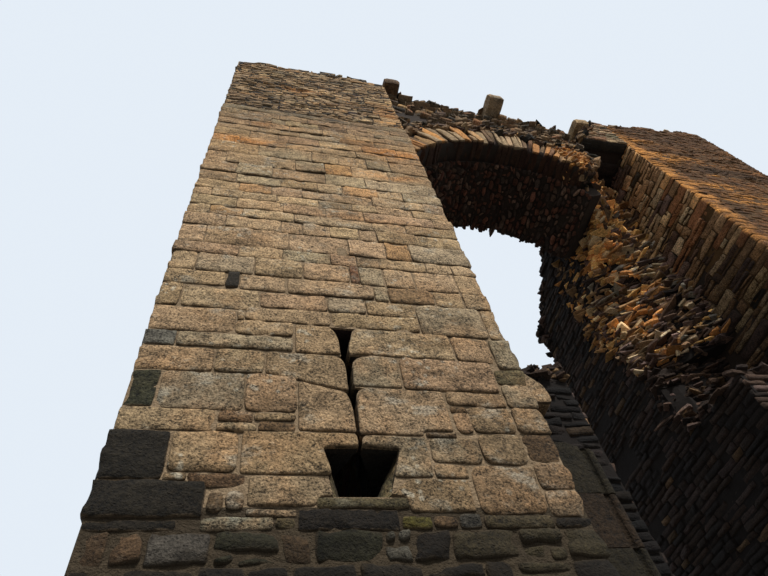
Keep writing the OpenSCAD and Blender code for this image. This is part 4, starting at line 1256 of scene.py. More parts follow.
def buildTower(side, seed):
    # the stones round one tower, each lot laid with its own look and given its own material
    rng = np.random.default_rng(seed)
    place, top, cover, stain = towerWall(side), headRound(side), coverOf(side), stainsAndPaintedLight(side)
    corner, right = towers["turns"], side == "right"
    foot, readStones, sides, upper, thin = frontAndSides(side, rng)
    crown, flush, sideCrown = crownRows(side, rng)
    nearFront = corner[1] - .05
    footFront, upperFront = ([s for s in group if s[0] < nearFront] for group in (foot, upper))
    footSide, ashlarSide = (
        [s for s in cutOut(cutOut(group, doorway["door"]), doorway["lintel"]) if not cover(s)]
        for group in ([s for s in foot if s[0] >= nearFront],
                      sides + [s for s in upper if s[0] >= nearFront]))
    ashlarSide.append((*doorway["lintel"], .03, 0.0, oneColour("tan", rng)))
    crown, flush, sideCrown = trim(crown, top), trim(flush, top), trim(sideCrown, top)
    sideCrown = [s for s in sideCrown if not cover(s)]
    gateSide = []
    if right:                                     # its gate side is all rubble above the lining
        isGate = [nearFront <= s[0] < gateEnd + .1 and s[2] > 6.3 for s in ashlarSide]
        gateSide = [s for s, gate in zip(ashlarSide, isGate) if gate]
        gateSide += [s for s in sideCrown if s[0] < gateEnd]
        ashlarSide = [s for s, gate in zip(ashlarSide, isGate) if not gate]
        sideCrown = [s for s in sideCrown if s[0] >= gateEnd]
    gateSide = broken(gateSide, .35, rng)
    footFront = broken(footFront, .3, rng)

    def proud(u, v):
        # the right tower's quoins stand out below a worn ledge
        along = np.clip((u - 2.6) / .06, 0, 1) * np.clip((corner[1] - u) / .02, 0, 1)
        up = np.clip((v - courses[0][0]) / .3, 0, 1) * np.clip((9.85 - v) / .05, 0, 1)
        return .028 * along * up * right

    def laid(stones, look):
        return cushions(place, stones, look, rng, corner, proud, stain)

    addPiece(side + "FootStones", laid(footFront, looks["foot"]), footStone, "rubble")
    slit = slitStones(place, rng) + splays(place, rng)
    parts = laid(readStones, looks["ashlar"]) + slit
    quoins = laid(upperFront, dict(looks["coursed"], arris=.005, rise=.011, joint=.003) if right
                  else looks["coursed"])
    if right:
        addPiece("rightFrontQuoins", quoins, warmStone, "granite")
    else:
        parts += quoins + [spurStone(rng)]
    addPiece(side + "FrontAshlar", parts, granite, "granite")
    frontStone = warmStone if right else crownStone
    for name, stones, look, material, slot in (
            ("FrontRubble", thin, "thin", warmStone, "rubble"),
            ("GateRubble", gateSide, "gateRubble", gateStone, "rubble"),
            ("CrownStones", crown, "crown", frontStone, "rubble"),
            ("CrownQuoins", flush, "flush", warmStone if right else granite, "granite"),
            ("SideFoot", footSide, "rubbleFar", footStone, "rubble"),
            ("SideAshlar", ashlarSide, "ashlarFar", granite, "granite"),
            ("SideCrown", sideCrown, "rubbleFar", crownStone, "rubble")):
        if stones:
            addPiece(side + name, laid(stones, looks[look]), material, slot)


def spurStone(rng):
    # one stone that stands out of the gate corner into the passage
    plane = facePlane((0, 0, 0), (1, 0, 0), (0, -1, 0))
    outline = [(-2.60, 4.60), (-2.335, 4.60), (-2.32, 4.66), (-2.325, 4.72), (-2.345, 4.79), (-2.42, 4.88),
               (-2.50, 4.955), (-2.60, 4.96)]
    look = dict(looks["slit"], rise=.004)
    return outlineStone(plane, outline, (-2.45, 4.74), oneColour("grey", rng) * .6, look, 77, .36)


def coverOf(side):
    # stones of the gate side that linings, core or vault hide for good; ranges of depth and height
    corner = towers["turns"][1]
    if side == "left":
        boxes = [(.80, 4.2, 0, 5.1), (.30, 1.80, 10.9, 13.0)]
    else:
        boxes = [(.80, 4.2, 0, 6.4), (1.45, 4.0, 6.4, 10.7), (.1, 2.1, 12.25, 12.9)]

    def covered(s):
        y0, y1 = s[0] - corner, s[1] - corner
        return 0 <= y0 and y1 <= towers["depth"] and any(
            y0 >= b[0] and y1 <= b[1] and s[2] >= b[2] and s[3] <= b[3] for b in boxes)
    return covered


def facePlane(origin, along, out):
    # point = origin + along * u + (0, 0, 1) * v + out * h
    origin, along, out = (np.array(a, float) for a in (origin, along, out))

    def place(u, v, h):
        u, v, h = np.broadcast_arrays(u, v, h)
        return origin + along * u[..., None] + np.array([0, 0, 1.0]) * v[..., None] + out * h[..., None]
    return place


buildTower("left", 11)
buildTower("right", 12)
print("towers faced")


def stacks(spots, base, crest, mix, rng, size, spreadOf=.2, lean=.12, scatter=.025, yaw=3.0):
    # flat broken stones laid from base up to crest at each spot, a stone's thickness apart
    count = np.maximum(1, np.ceil((crest - base) / (1.7 * size[2]))).astype(int)
    spot = np.repeat(np.arange(len(spots)), count)
    level = np.arange(len(spot)) - np.repeat(np.cumsum(count) - count, count)
    n = len(spot)
    half = varied(size, .25, n, rng)
    centre = np.empty((n, 3))
    centre[:, :2] = np.asarray(spots)[spot] + rng.normal(0, scatter, (n, 2))
    centre[:, 2] = base[spot] + (level + .3) * 1.7 * size[2] + rng.normal(0, .010, n)
    centre[:, 2] = np.minimum(centre[:, 2], crest[spot] + .01)
    turns = turnsFrom(rng.uniform(-yaw, yaw, n), rng.normal(0, lean, n), rng.normal(0, lean, n))
    return slabs(centre, half, turns, pickColours(n, mix, rng, spreadOf), rng)


def crestLine(top, s, lift, seed, reach=.45):
    # the stepped head smoothed over its neighbours, with noise on top
    mean = np.mean([np.maximum(top(s + d), top(s) - .6) for d in np.linspace(-reach, reach, 9)], 0)
    return np.maximum(top(s) + .015, mean + lift + .04 * flatNoise(s, 0 * s, .45, seed))


highestStone = 14.62                              # metres: the loose stones' tops keep below about this


def buildHeads(side, seed):
    # loose rubble on the wall heads: s runs along a wall and t across it
    rng = np.random.default_rng(seed)
    sign = sideSign[side]
    front, gate, rear, outer = headsOf(side)
    ends = sorted((sign * (towers["gate"] + .001), sign * (towers["half"] - .001)))
    parts = []
    for axis, top, s0, s1, t0, t1 in (("x", front, 2.58, 5.40, .16, .82), ("x", rear, 2.58, 5.40, 4.46, 5.08),
                                      ("y", gate, .95, 4.38, 2.63, 3.22), ("y", outer, .95, 4.38, 4.78, 5.36)):
        s, t = np.meshgrid(np.arange(s0 + .07, s1, .19), np.linspace(t0, t1, 4))
        s, t = s.ravel(), t.ravel()
        s = s + rng.uniform(-.04, .04, len(s))
        if axis == "x":
            spots = np.stack([sign * s, t], -1)
            limit = lambda a: top(np.clip(a, *ends))
            base, crest = limit(sign * s), crestLine(limit, sign * s, .0, seed)
        else:
            spots = np.stack([sign * t, s], -1)
            limit = lambda a: top(np.clip(a + frontY, frontY + .901, frontY + 4.399))
            base, crest = limit(s), crestLine(limit, s, .0, seed + 1)
        if side == "left":                        # the crest that stands behind the gate corner
            crest = crest + .34 * np.exp(-((spots[:, 0] + 3.15) / .33) ** 2 - ((spots[:, 1] - .9) / .5) ** 2)
        parts.append(stacks(spots, base, np.minimum(crest, highestStone), crownMix, rng, (.125, .095, .024),
                            lean=.035, scatter=.018, yaw=.35))
    if side == "left":                            # wide thin slabs that still cap the outer corner
        x = np.array([-5.26, -4.86, -4.50])
        centre = np.stack([x, np.full(3, .17), front(x) + [.005, .025, .01]], -1)
        half = np.array([(.26, .20, .028), (.20, .20, .024), (.17, .18, .028)])
        turns = turnsFrom(rng.normal(0, .06, 3), rng.normal(0, .02, 3), rng.normal(0, .02, 3))
        colours = pickColours(3, {"grey": 1, "tan": 1}, rng)
        parts.append(slabs(centre, half, turns, colours, rng, .06, (.92, 1.04)))
    addPiece(side + "HeadRubble", parts, crownStone, "rubble", smooth=False)


buildHeads("left", 21)
buildHeads("right", 22)

jamb = {
    "back": .73,                                  # depth of its face behind the tower fronts
    "depth": .37, "wide": .94, "roll": .09, "hollow": .06,
    "beds": (0, .47, .94, 1.42, 1.89, 2.37, 2.85, 3.32, 3.795, 4.29, 4.85),
}


def jambOutline(w):
    # plan of the moulded jamb from the tower at x = 0: flat, hollow, roll, then square round the back
    r, c = jamb["roll"] / 2, jamb["hollow"] / 2
    y0, y1 = jamb["back"], jamb["back"] + jamb["depth"]
    flat = [(x, y0) for x in np.linspace(0.0, w - 2 * r - 2 * c - .02, 9)]
    arc = np.linspace(np.pi, 0, 7)
    hollow = [(w - 2 * r - c + c * np.cos(a), y0 + c * np.sin(a)) for a in arc]
    arc = np.linspace(-np.pi, 0, 9)
    roll = [(w - r + r * np.cos(a), y0 + r + r * np.sin(a)) for a in arc]
    side = [(w, y) for y in np.linspace(y0 + 2.3 * r, y1, 5)]
    back = [(x, y1) for x in np.linspace(w * .8, 0, 5)]
    return np.array(flat + hollow + roll + side + back + [(0, (y0 + y1) / 2)])


def buildJamb(side, seed):
    # blocks: the outline carried up in rings, drawn in a little at each joint and closed at both beds
    rng = np.random.default_rng(seed)
    sign, w = sideSign[side], jamb["wide"]
    outline = jambOutline(w)
    centre = outline.mean(0)
    n = len(outline)
    parts = []
    for v, up in zip(jamb["beds"][:-1], jamb["beds"][1:]):
        tall = up - v
        share = np.array([0, .004, .016, .07, .5 * tall, tall - .07, tall - .016, tall - .004, tall])
        draw = np.array([.94, .985, 1, 1, 1, 1, 1, .985, .94])
        ring = centre + (outline - centre)[None] * draw[:, None, None]
        z = v + .004 + share * (tall - .010) / tall
        points = np.concatenate([ring, np.broadcast_to(z[:, None, None], (9, n, 1))], -1)
        shake = np.stack([softNoise(points + 7 * i + 3 * v, .13, 60 + i, 3) for i in range(3)], -1)
        points = points + shake * np.array([.007, .007, .004])
        points[..., :2] += rng.normal(0, .005, 2)
        last = up == jamb["beds"][-1]
        if last:                                  # broken head
            fall = .12 * np.clip((points[..., 0] - w + .42) / .42, 0, 1) ** 2
            fall = fall + .03 * flatNoise(points[..., 0], points[..., 1], .12, 7)
            points[..., 2] -= fall * np.clip((points[..., 2] - v) / tall, 0, 1)
        hub = points[[0, -1]].mean(1, keepdims=True)
        caps = [hub[:1] + (points[:1] - hub[:1]) * f for f in (0.0, .5)]
        tops = [hub[1:] + (points[-1:] - hub[1:]) * f for f in (.5, 0.0)]
        whole = np.concatenate([*caps, points, *tops])
        whole[..., 0] = sign * (towers["gate"] - whole[..., 0])
        rows = len(whole)
        quads = tubeQuads(rows, n)
        quads = quads if sign < 0 else quads[:, ::-1]
        tint = pickColours(1, {"olive": 3, "brown": 1}, rng, .08)[0] * .11
        edge = np.clip(np.minimum(z - v, up - z) / .03, 0, 1)
        edge = np.concatenate([[0, 0], edge, [1, 1] if last else [0, 0]])
        colour = np.empty((rows, n, 4))
        colour[..., :3] = tint
        colour[..., 3] = edge[:, None]
        parts.append((whole, quads, colour))
    addPiece(side + "JambBlocks", parts, jambStone, "dark_granite", sharp=.7, replaced=(side + "_jamb",))


buildJamb("left", 31)
buildJamb("right", 32)

lining = {
    "leftFace": -1.15, "rightFace": 1.5,          # faces in the passage
    "front": 1.10, "rear": 4.25,                  # depths of both ends
    "jambTop": 4.86, "leftTop": 6.15, "rightTop": 6.4, "pocketTop": 7.6, "archFoot": 9.7, "archBack": 10.9,
    "coreTop": 12.2,
}


def coreEdge(z):
    # depth of the broken front edge on the passage face
    steps = [z < lining[key] for key in ("rightTop", "pocketTop", "archFoot", "archBack")]
    return np.select(steps, [lining["front"], 2.3, 2.5, 2.05], 1.5)


def coreRoot(z):
    # depth of the broken front against the tower
    return np.where(z < lining["pocketTop"], 1.9, 1.33)


def coreFar(z):
    # depth of the far end, which leans forward above the arch
    leaning = 4.05 - 1.1 * np.maximum(0, z - lining["archBack"])
    return np.where(z < lining["archFoot"], lining["rear"], leaning)


def thinCourses(z0, z1, low, high, widths, mix, rng):
    # thin schist courses between two depths, each a number or a function of the height
    stones, v, heights, ragged = [], z0, (.07, .12), .10
    while v < z1 - .03:
        tall = min(rng.uniform(*heights), z1 - v)
        a, b = (float(edge(v + tall / 2)) if callable(edge) else edge for edge in (low, high))
        a, b = a + rng.uniform(-ragged, ragged) * (a > 1.2), b - rng.uniform(0, .03)
        if b - a > .12:
            stones += row(spread(a, b, widths, rng), v, v + tall, mix, rng, .012, .2)
        v += tall
    return stones


def meshed(a, b):
    # all pairs of two rows of positions
    s, t = np.meshgrid(a, b)
    return np.stack([s.ravel(), t.ravel()], -1)


def buildLinings(seed):
    # thin courses on the passage faces of both linings and on their front and rear ends
    rng = np.random.default_rng(seed)
    left, right, frontAt, rearAt = (lining[key] for key in ("leftFace", "rightFace", "front", "rear"))
    rightFace = facePlane((right, 0, 0), (0, 1, 0), (-1, 0, 0))
    leftFace = facePlane((left, 0, 0), (0, 1, 0), (1, 0, 0))
    front = facePlane((0, frontAt, 0), (1, 0, 0), (0, -1, 0))
    rear = facePlane((0, rearAt, 0), (1, 0, 0), (0, 1, 0))
    look, wall, jambTop = looks["schist"], towers["gate"] - .01, lining["jambTop"]
    stones = thinCourses(0, lining["coreTop"] - .1, coreEdge, coreFar, (.14, .46), schistMix, rng)
    # painted shade: the passage face of the right lining is darkened
    stones = [(*s[:6], s[6] * .42) for s in stones]
    for pocket in ((3.55, 4.2, 7.86, 8.06), (3.5, 4.2, 6.95, 7.3), (3.75, 4.2, 5.95, 6.12)):
        stones = cutOut(stones, pocket)           # robbed pockets near the far end
    addPiece("rightLiningFace", cushions(rightFace, stones, look, rng), schistStone, "schist")
    leftTop = headProfile("left_lining", 1)
    highest = lambda u: leftTop(np.clip(u, frontAt + .01, rearAt - .01) + frontY)
    stones = thinCourses(0, lining["leftTop"], frontAt, rearAt, (.18, .5), schistMix, rng)
    parts = cushions(leftFace, trim(stones, highest), look, rng)
    frontTop, rearTop = (float(highest(np.array(y))) for y in (frontAt + .05, rearAt - .05))
    ends = thinCourses(jambTop, frontTop, -wall, left, (.16, .42), schistMix, rng)
    ends += thinCourses(0, jambTop, jamb["wide"] - towers["gate"], left, (.16, .40), schistMix, rng)
    # painted shade: the ends in the passage are darkened, most below the jamb's top
    ends = [(*s[:6], s[6] * (.15 if s[2] > jambTop - .01 else .05)) for s in ends]
    parts += cushions(front, ends, dict(look, rise=.014, uneven=.9, tilt=.010, skew=.05, waver=.012), rng)
    parts += cushions(rear, thinCourses(0, rearTop, -wall, left, (.2, .5), schistMix, rng), look, rng)
    addPiece("leftLiningFace", parts, schistStone, "schist")
    parts = []
    for plane, z0, z1 in ((front, jambTop, lining["rightTop"]), (rear, 0, lining["archFoot"] - .02)):
        parts += cushions(plane, thinCourses(z0, z1, right + .01, wall, (.2, .5), schistMix, rng), look, rng)
    addPiece("rightLiningEnds", parts, schistStone, "schist")
    buildLiningHeads(highest, frontTop, rng)


def buildLiningHeads(highest, frontTop, rng):
    # loose heads of both linings, the floor of the robbed pocket, and the sloping far end of the core
    spots = meshed(np.linspace(-2.42, -1.40, 8), np.arange(1.30, 4.16, .19))
    parts = [stacks(spots, highest(spots[:, 1]), crestLine(highest, spots[:, 1], -.05, 5), schistMix, rng,
                    (.085, .065, .024))]
    ragged = meshed(np.linspace(-2.40, -1.20, 9), [1.09, 1.14])
    base = np.full(len(ragged), frontTop - .16)
    loose = {"brown": 2, "schist": 3, "schistDark": 4}
    ups = base + .15 + .04 * rng.normal(size=len(ragged))
    parts.append(stacks(ragged, base, ups, loose, rng, (.07, .05, .020)))
    spots = meshed(np.linspace(1.6, 2.42, 5), np.arange(1.16, 2.2, .2))
    level = np.full(len(spots), lining["rightTop"])
    parts.append(stacks(spots, level, level + .06 + .10 * (spots[:, 1] > 1.6), schistMix, rng, (.14, .10, .03)))
    across = np.linspace(1.56, 2.42, 6)
    spots = meshed(across, np.arange(2.1, 4.02, .12))
    level = np.minimum(lining["coreTop"], lining["archBack"] + (4.05 - spots[:, 1]) / 1.1)
    ups = level - .10 + .05 * flatNoise(spots[:, 0], spots[:, 1], .4, 3)
    parts.append(stacks(spots, ups - .10, ups, schistMix, rng, (.12, .09, .032)))
    spots, z = meshed(across, [4.03, 3.99]), np.arange(9.75, lining["archBack"], .09)
    base = np.repeat(z, len(spots))
    parts.append(stacks(np.tile(spots, (len(z), 1)), base, base + .02, schistMix, rng, (.12, .07, .034), yaw=.5))
    addPiece("liningHeads", parts, schistStone, "schist", smooth=False)


buildLinings(41)

core = {
    "rise": .056, "across": 12, "half": (.118, .072, .017), "lean": .25,
    # heights, and the depths there of the near and far edge of its side in the passage
    "edge": ([9.4, 9.8, 10.3, 10.9, 11.5, 12.2], [2.45, 2.2, 1.50, .90, .66, .62]),
    "far": ([8.25, 9.05, 10.45, 10.85, 11.3, 11.55, 11.75], [2.55, 2.75, 2.85, 2.75, 2.4, 1.8, 1.3]),
}
paleCoreMix = {"mauve": 3, "grey": 1.4, "brown": 3, "blue": 1, "schist": 2}


def buildCore(seed):
    # slabs bedded in layers along the broken face, turned and tipped at random; t runs from the tower outwards
    rng = np.random.default_rng(seed)
    z, t = np.meshgrid(np.arange(6.44, 12.18, core["rise"]), np.linspace(.02, 1.0, core["across"]))
    z, t = z.ravel() + rng.normal(0, .02, z.size), t.ravel() + rng.normal(0, .05, z.size)
    t = np.clip(t, .0, 1.0)
    wander = .11 * flatNoise(z, t, .55, 8, 3) + .05 * flatNoise(z, 0 * t, .22, 12)
    blend = np.clip((z - 7.3) / .5, 0, 1)         # the pocket's roof comes forward over it
    edge = np.minimum(coreEdge(z), np.interp(z, *core["edge"]))
    y = coreRoot(z) + (edge - coreRoot(z)) * t + rng.normal(0, .035, len(z)) + .05 - .09 * blend + wander
    centre = np.stack([towers["gate"] - .98 * t, y, z], -1)
    level, back = np.meshgrid(np.arange(8.25, 11.75, .062), np.linspace(0, 1, 9))   # its side in the passage
    level, back = level.ravel(), back.ravel()
    near, far = (np.interp(level, *core[key]) for key in ("edge", "far"))
    side = np.stack([1.57 + rng.normal(0, .02, len(level)), near + (far - near) * back, level], -1)
    side = side + rng.normal(0, .025, side.shape) * [.5, 1, 1]
    centre = np.concatenate([centre, side])
    z, t = centre[:, 2], np.concatenate([t, np.ones(len(side))])
    n = len(z)
    half = varied(core["half"], [.36, .30, .34], n, rng)
    lean = core["lean"]
    turns = turnsFrom(rng.normal(-.77, .45, n), rng.normal(0, lean, n), rng.normal(-.08, lean, n))
    # painted sunlight and shade: sunlit colours where the score is high, more often higher up and further from
    # the tower, paler ones a little below it, dark ones elsewhere and, as painted shade, all below 7.7 m
    lit = flatNoise(z, t, .42, 77, 3) + .45 * (z - 9.4) / 2.5 + .35 * (t - .4) + rng.normal(0, .35, n)
    bright, pale, dark = (pickColours(n, mix, rng, .42) for mix in (litMix, paleCoreMix, schistMix))
    lit, deep = lit[:, None], (z < 7.7)[:, None]
    colours = np.select([deep, lit > 0, lit > -.85], [dark * .8, bright * 1.15, pale * 1.5], dark)
    parts = [slabs(centre, half, turns, colours, rng, .05, (.72, 1.18), .5)]
    big = rng.uniform(size=n) < .02               # a few bonding stones among the slabs
    parts.append(blocks(centre[big], half[big] * [1.0, 1.2, 2.6], turns[big], colours[big], rng,
                        cubeShell(3, 3, 2), power=9, cuts=6, depth=(.62, 1.0), rough=.10))
    addPiece("coreSlabs", parts, litSchist, "broken_core", smooth=False)


buildCore(51)

arch = {
    "x": -.5, "z": 9.7, "r": 2.0, "front": .18, "depth": .45, "length": .8,
    "from": -72, "to": 52,                        # degrees from the crown
    "left": -2.5, "right": 1.5,                   # faces that it springs from
    "fillers": 220, "enders": 260,                # small stones over the voussoirs and at the broken end
}
ringMix = {"straw": 1.6, "schistLit": 2, "sand": 3, "tan": 3, "brown": 1.8, "orange": 1.6}
goldMix = {"straw": 2.4, "schistLit": 3, "gold": 2, "orange": 2, "brown": 1.6, "rust": 1}
packMix = {"brown": 3, "schist": 3, "tan": 1, "dark": 2}
vaultMix = {"schistDark": 4, "wine": 6, "schist": 3}
fillMix = {"brown": 4, "rust": 2, "dark": 3, "orange": .5, "schist": 3}


def onArch(r, angle, y):
    # radius r at an angle from the crown, y back from the tower fronts
    return np.stack(np.broadcast_arrays(arch["x"] + r * np.sin(angle), y, arch["z"] + r * np.cos(angle)), -1)


def vaultBand(r0, r1, y0, y1, a0, a1):
    # rectangle r0..r1 by y0..y1 carried round the arch, closed at both ends
    steps = 41
    angle = np.radians(np.linspace(a0, a1, steps))[:, None]
    section = np.array([(r0, y0), (r0, y1), (r1, y1), (r1, y0)])
    hub = section[None] * 0 + section.mean(0)
    rings = np.concatenate([hub] + [section[None]] * steps + [hub])
    angle = np.concatenate([angle[:1], angle, angle[-1:]])
    points = onArch(rings[..., 0], angle, rings[..., 1])
    points[..., 0] = np.clip(points[..., 0], arch["left"], arch["right"])
    rows, n = points.shape[:2]
    colour = np.array([*tone["schistDark"], 1.0])
    return points, tubeQuads(rows, n)[:, ::-1], np.broadcast_to(colour, (rows * n, 4))


def voussoirs(rng):
    # thin wedge stones on end: radial axes at each angle, thickness growing with the radius
    thick = np.exp(rng.normal(math.log(.105), .26, 90))
    edge = math.radians(arch["from"]) + np.concatenate([[0], np.cumsum(thick)]) / arch["r"]
    n = int((edge[1:] < math.radians(arch["to"])).sum())
    angle, thick = (edge[:n] + edge[1:n + 1]) / 2, thick[:n]
    inner = arch["r"] + rng.uniform(-.01, .05, n)
    outer = arch["r"] + arch["length"] * rng.uniform(.72, 1.05, n)
    short = rng.uniform(size=n) < .16
    outer = np.where(short, outer - rng.uniform(.1, .3, n), outer)
    middle = (inner + outer) / 2
    front = arch["front"] + np.abs(rng.normal(0, .024, n))
    radial = np.stack([np.sin(angle), 0 * angle, np.cos(angle)], -1)
    across = np.stack([np.cos(angle), 0 * angle, -np.sin(angle)], -1)
    centre = onArch(middle, angle, front + arch["depth"] / 2)
    deep = np.full(n, arch["depth"] / 2)
    half = np.stack([thick * middle / arch["r"] / 2 * .90, deep, (outer - inner) / 2], -1)
    turns = np.stack([across, np.broadcast_to([0, 1.0, 0], (n, 3)), radial], -1)
    tip = turnsFrom(rng.normal(0, .02, n), rng.normal(0, .025, n), rng.normal(0, .02, n))
    golden = (angle > math.radians(16))[:, None]  # the right end is freshly broken and painted golden as in sunlight
    colours = np.where(golden, pickColours(n, goldMix, rng, .14), pickColours(n, ringMix, rng, .14))
    points, quads, colour = blocks(centre, half, turns @ tip, colours, rng, cubeShell(6, 8, 3),
                                   power=14, cuts=4, depth=(.80, 1.15), rough=.12)
    # only the fronts keep their colour; behind them the stone is painted dark, as painted shade under the ring
    back = np.clip((points[:, 1].reshape(n, -1) - front[:, None] - .01) / .04, 0, 1).reshape(-1, 1)
    colour[:, :3] = colour[:, :3] * (1 - .97 * back) + .97 * back * tone["wine"] * .6
    return points, quads, colour


def buildRing(seed):
    # the voussoirs on their mortar bed, with small stones above them and at the broken end
    rng = np.random.default_rng(seed)
    parts = [voussoirs(rng)]
    n = arch["fillers"]                           # small broken stones packed over short voussoirs
    a = rng.uniform(math.radians(-66), math.radians(50), n)
    r = arch["r"] + arch["length"] * rng.uniform(.72, 1.12, n)
    spots = onArch(r, a, rng.uniform(.20, .30, n))
    half = varied((.085, .07, .028), .3, n, rng)
    turns = turnsFrom(rng.uniform(-.5, .5, n), a * .6 + rng.normal(0, .3, n), rng.normal(0, .2, n))
    parts.append(slabs(spots, half, turns, pickColours(n, packMix, rng, .2), rng))
    n = arch["enders"]                            # golden rubble on the fill's face, then down the ring's end, freshly broken and painted as in sunlight
    x, y, z = rng.uniform(.80, 1.30, n), .20 + .09 * rng.uniform(0, 1, n), rng.uniform(11.3, 12.1, n)
    a = np.radians(rng.uniform(40, 54.5, n))
    r = arch["r"] + rng.uniform(.03, .8, n)
    end = onArch(r, a, .20 + .5 * rng.uniform(0, 1, n) ** 1.6)
    spots = np.concatenate([np.stack([x, y, z], -1), end])
    away = np.hypot(spots[:, 0] - arch["x"], spots[:, 2] - arch["z"])
    spots = spots[(away > 2.04) & (spots[:, 0] < 1.40)]
    n = len(spots)
    half = varied((.052, .040, .018), .35, n, rng)
    turns = turnsFrom(rng.uniform(-1.5, 1.5, n), rng.normal(.3, .35, n), rng.normal(0, .3, n))
    freshAndSunlit = (np.arctan2(spots[:, 0] - arch["x"], spots[:, 2] - arch["z"]) < math.radians(48))[:, None]
    colours = np.where(freshAndSunlit, pickColours(n, goldMix, rng, .18), pickColours(n, fillMix, rng, .3))
    parts.append(slabs(spots, half, turns, colours, rng))
    for points, _, _ in parts:
        points[:, 0] = np.clip(points[:, 0], arch["left"], arch["right"] + .06)
    bed = vaultBand(2.035, 2.72, .27, .63, arch["from"], arch["to"])
    addPiece("ringBed", [bed], mortarOf["earth"], "schist")
    addPiece("ringStones", parts, litSchist, "broken_core", smooth=False, replaced=("arch_ring",))


buildRing(61)


def vaultSoffit(u, v, h):
    # u runs round the arch at the intrados, v is the depth, h points to the centre
    points = onArch(arch["r"] - h, u / arch["r"], v)
    points[..., 0] = np.clip(points[..., 0], arch["left"], arch["right"])
    return points


def buildVault(seed):
    # narrow courses along the vault, side by side round its soffit
    rng = np.random.default_rng(seed)
    stones = []
    bed = spread(math.radians(arch["from"]) * arch["r"], math.radians(60) * arch["r"], (.06, .115), rng)
    for u0, u1 in zip(bed, bed[1:]):
        cuts = spread(.60, 1.97 + rng.uniform(-.04, .04), (.07, .22), rng)
        stones += [(*s[:6], s[6] * 2.7) for s in row(cuts, u0, u1, vaultMix, rng, .05, .38)]
    stones = [(s[2], s[3], s[0], s[1], *s[4:]) for s in stones]
    look = dict(looks["schist"], rise=.034, uneven=.75, tilt=.016, bulge=.004, skew=.12, waver=.020, most=3,
                bury=.02)
    addPiece("vaultSoffit", cushions(vaultSoffit, stones, look, rng), schistStone, "schist")
    # far edge of the vault: broken ends standing out unevenly
    angle = np.radians(np.arange(-70, 59, 1.9))
    n = len(angle) * 4
    angle = np.repeat(angle, 4) + rng.normal(0, .008, n)
    r = np.tile([2.05, 2.16, 2.28, 2.40], n // 4) + rng.normal(0, .02, n)
    depth = 1.94 + rng.uniform(-.08, .07, n)
    turns = turnsFrom(0 * angle, angle + np.pi / 2, rng.normal(0, .15, n))
    half = varied((.075, .12, .028), .25, n, rng)
    teeth = slabs(onArch(r, angle, depth), half, turns, pickColours(n, vaultMix, rng, .2), rng)
    teeth[0][:, 0] = np.clip(teeth[0][:, 0], arch["left"], arch["right"])
    addPiece("vaultTeeth", [teeth], schistStone, "schist", smooth=False)


buildVault(62)


def buildFill(seed):
    # thin rubble on the front and rear of the fill, outside radius r, and loose stones on its head
    rng = np.random.default_rng(seed)
    top = headProfile("arch_fill", 0)
    limit = lambda a: top(np.clip(a, arch["left"] + .001, arch["right"] - .001))
    pieces = []
    ends = arch["left"] + .01, arch["right"] - .01
    for depth, out, r in ((.24, -1, 2.74), (1.88, 1, 2.42)):
        wall = facePlane((0, depth, 0), (1, 0, 0), (0, out, 0))
        stones = trim(thinRows(10.9, 14.2, *ends, (.065, .13), (.10, .34), fillMix, rng, .03, .24), limit)
        stones = [s for s in stones
                  if math.hypot((s[0] + s[1]) / 2 - arch["x"], (s[2] + s[3]) / 2 - arch["z"]) > r]
        if out < 0:                               # a hole beside the left tower
            stones = [s for s in stones if not (-2.35 < (s[0] + s[1]) / 2 < -1.75 and 12.35 < s[2] < 12.75)]
        pieces += cushions(wall, stones, dict(looks["crown"], rise=.05, uneven=.6, tilt=.02, joint=.026), rng)
    addPiece("fillStones", pieces, crownStone, "rubble")
    spots = meshed(np.arange(-2.44, 1.46, .16), np.linspace(.28, 1.82, 10))
    base = limit(spots[:, 0])
    crest = crestLine(limit, spots[:, 0], .03, 9) + .05 * flatNoise(spots[:, 0], spots[:, 1], .3, 4)
    headMix = {"brown": 4, "rust": 2, "tan": .8, "dark": 2, "schist": 2.5, "orange": .5}
    head = stacks(spots, base, crest, headMix, rng, (.12, .085, .032), lean=.2)
    addPiece("fillHead", [head], crownStone, "rubble", smooth=False)


buildFill(63)

# its lower corner in the passage, its top, how far back it goes, its lean sideways per metre up, and the
# face of the tower beside it
hood = {"x": 1.5, "z": 12.2, "top": 13.45, "depth": 1.38, "lean": .576, "wall": 2.5}


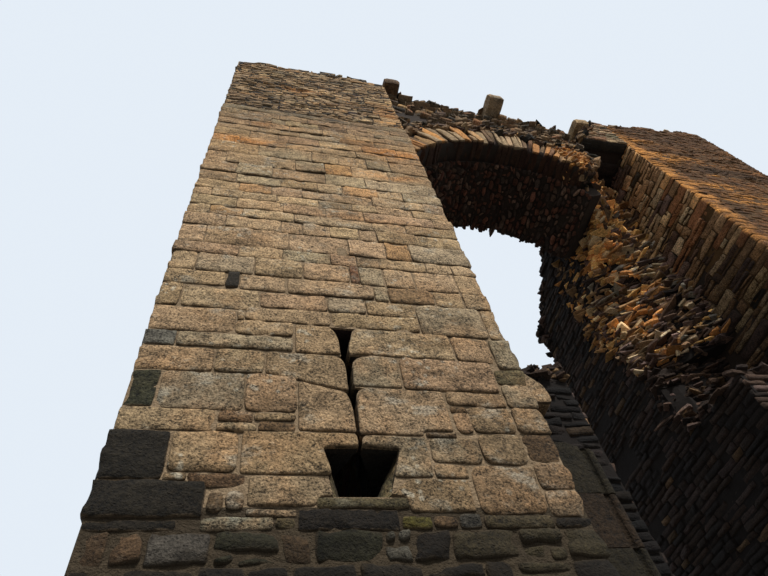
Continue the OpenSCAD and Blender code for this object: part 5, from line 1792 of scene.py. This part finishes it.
def buildHood(seed):
    # front, soffit, stepped edge and passage face of the masonry that hangs over beside the right tower
    rng = np.random.default_rng(seed)
    front = facePlane((0, 0, 0), (1, 0, 0), (0, -1, 0))
    stones = []
    bed = spread(hood["z"], hood["top"], (.07, .12), rng)
    for v0, v1 in zip(bed, bed[1:]):
        left = hood["x"] + hood["lean"] * (v1 - hood["z"])
        stones += row(spread(left + .02, hood["wall"], (.12, .36), rng), v0, v1, frontRubbleMix, rng, .02, .16)
    addPiece("hoodFront", cushions(front, stones, dict(looks["thin"], rise=.022), rng), crownStone, "rubble")
    # the soffit is of long slabs from wall to edge
    under = lambda u, v, h: np.stack(np.broadcast_arrays(v, u, hood["z"] - h), -1)
    cuts = spread(.0, hood["depth"] + .02, (.14, .30), rng)
    colours = pickColours(len(cuts) - 1, {"schistDark": 3, "schist": 1, "dark": 1}, rng, .15)
    long = [(y0, y1, hood["x"] + rng.uniform(-.05, .03), hood["wall"], .03, 0.0, tint)
            for y0, y1, tint in zip(cuts, cuts[1:], colours)]
    look = dict(looks["schist"], rise=.035, uneven=.5, step=.09, most=10, tilt=.008)
    parts = cushions(under, long, look, rng)
    addPiece("hoodSoffit", parts, schistStone, "schist")
    # raked broken edge, laid as rubble on its steps
    step = np.arange(5)
    spots = meshed(np.arange(.08, 1.36, .15), step)[:, ::-1]
    level = hood["z"] + .25 * spots[:, 0]
    spots = spots * [.144, 1] + [hood["x"] + .05, 0]
    parts = [stacks(spots, level - .02, level + .24, fillMix, rng, (.115, .09, .032), lean=.2)]
    haunch = headProfile("right_haunch", 1)
    top = lambda a: haunch(np.clip(a, 1.39, 2.24) + frontY)
    spots = meshed(np.linspace(1.56, 2.44, 6), np.arange(1.42, 2.25, .16))
    parts.append(stacks(spots, top(spots[:, 1]) - .05, crestLine(top, spots[:, 1], .02, 6), fillMix, rng,
                        (.12, .09, .032)))
    # its face in the passage and its rear face
    for plan, yaw in ((meshed([1.53], np.arange(1.42, 2.25, .16)), 1.57),
                      (meshed(np.arange(1.6, 2.5, .16), [2.22]), 0)):
        z = np.arange(12.24, 13.1, .075)
        centre = np.concatenate([np.tile(plan, (len(z), 1)), np.repeat(z, len(plan))[:, None]], 1)
        centre = centre + rng.normal(0, .02, centre.shape)
        centre = centre[centre[:, 2] < top(centre[:, 1])]
        n = len(centre)
        turns = turnsFrom(rng.normal(yaw, .4, n), rng.normal(0, .12, n), rng.normal(0, .12, n))
        half = varied((.12, .08, .035), .25, n, rng)
        parts.append(slabs(centre, half, turns, pickColours(n, fillMix, rng, .2), rng))
    addPiece("hoodRubble", parts, crownStone, "rubble", smooth=False)


buildHood(64)


def buildCorbels(seed):
    # one block in the box of each corbel, turned by a few hundredths
    rng = np.random.default_rng(seed)
    low = np.array([(-2.5, -.115, 13.77), (-.27, -.23, 13.41), (1.644, -.115, 12.95)])
    high = np.array([(-2.16, .62, 14.03), (.07, .62, 13.67), (1.984, .62, 13.21)])
    turns = turnsFrom(np.array([.02, .03, -.02]), np.array([0, -.05, .03]), np.array([.03, -.04, .02]))
    colours = np.array([oneColour("brown", rng) * .6, oneColour("grey", rng), oneColour("tan", rng)])
    part = blocks((low + high) / 2, (high - low) / 2 * [1.0, 1.0, .96], turns, colours, rng,
                  cubeShell(6, 10, 5), power=14, cuts=4, depth=(.90, 1.2), rough=.05)
    addPiece("corbelStones", [part], crownStone, "dark_granite", sharp=.6, replaced=("corbels",))


buildCorbels(65)
print("passage, vault and hood built")

print("triangles added", sum(count for _, count in made))
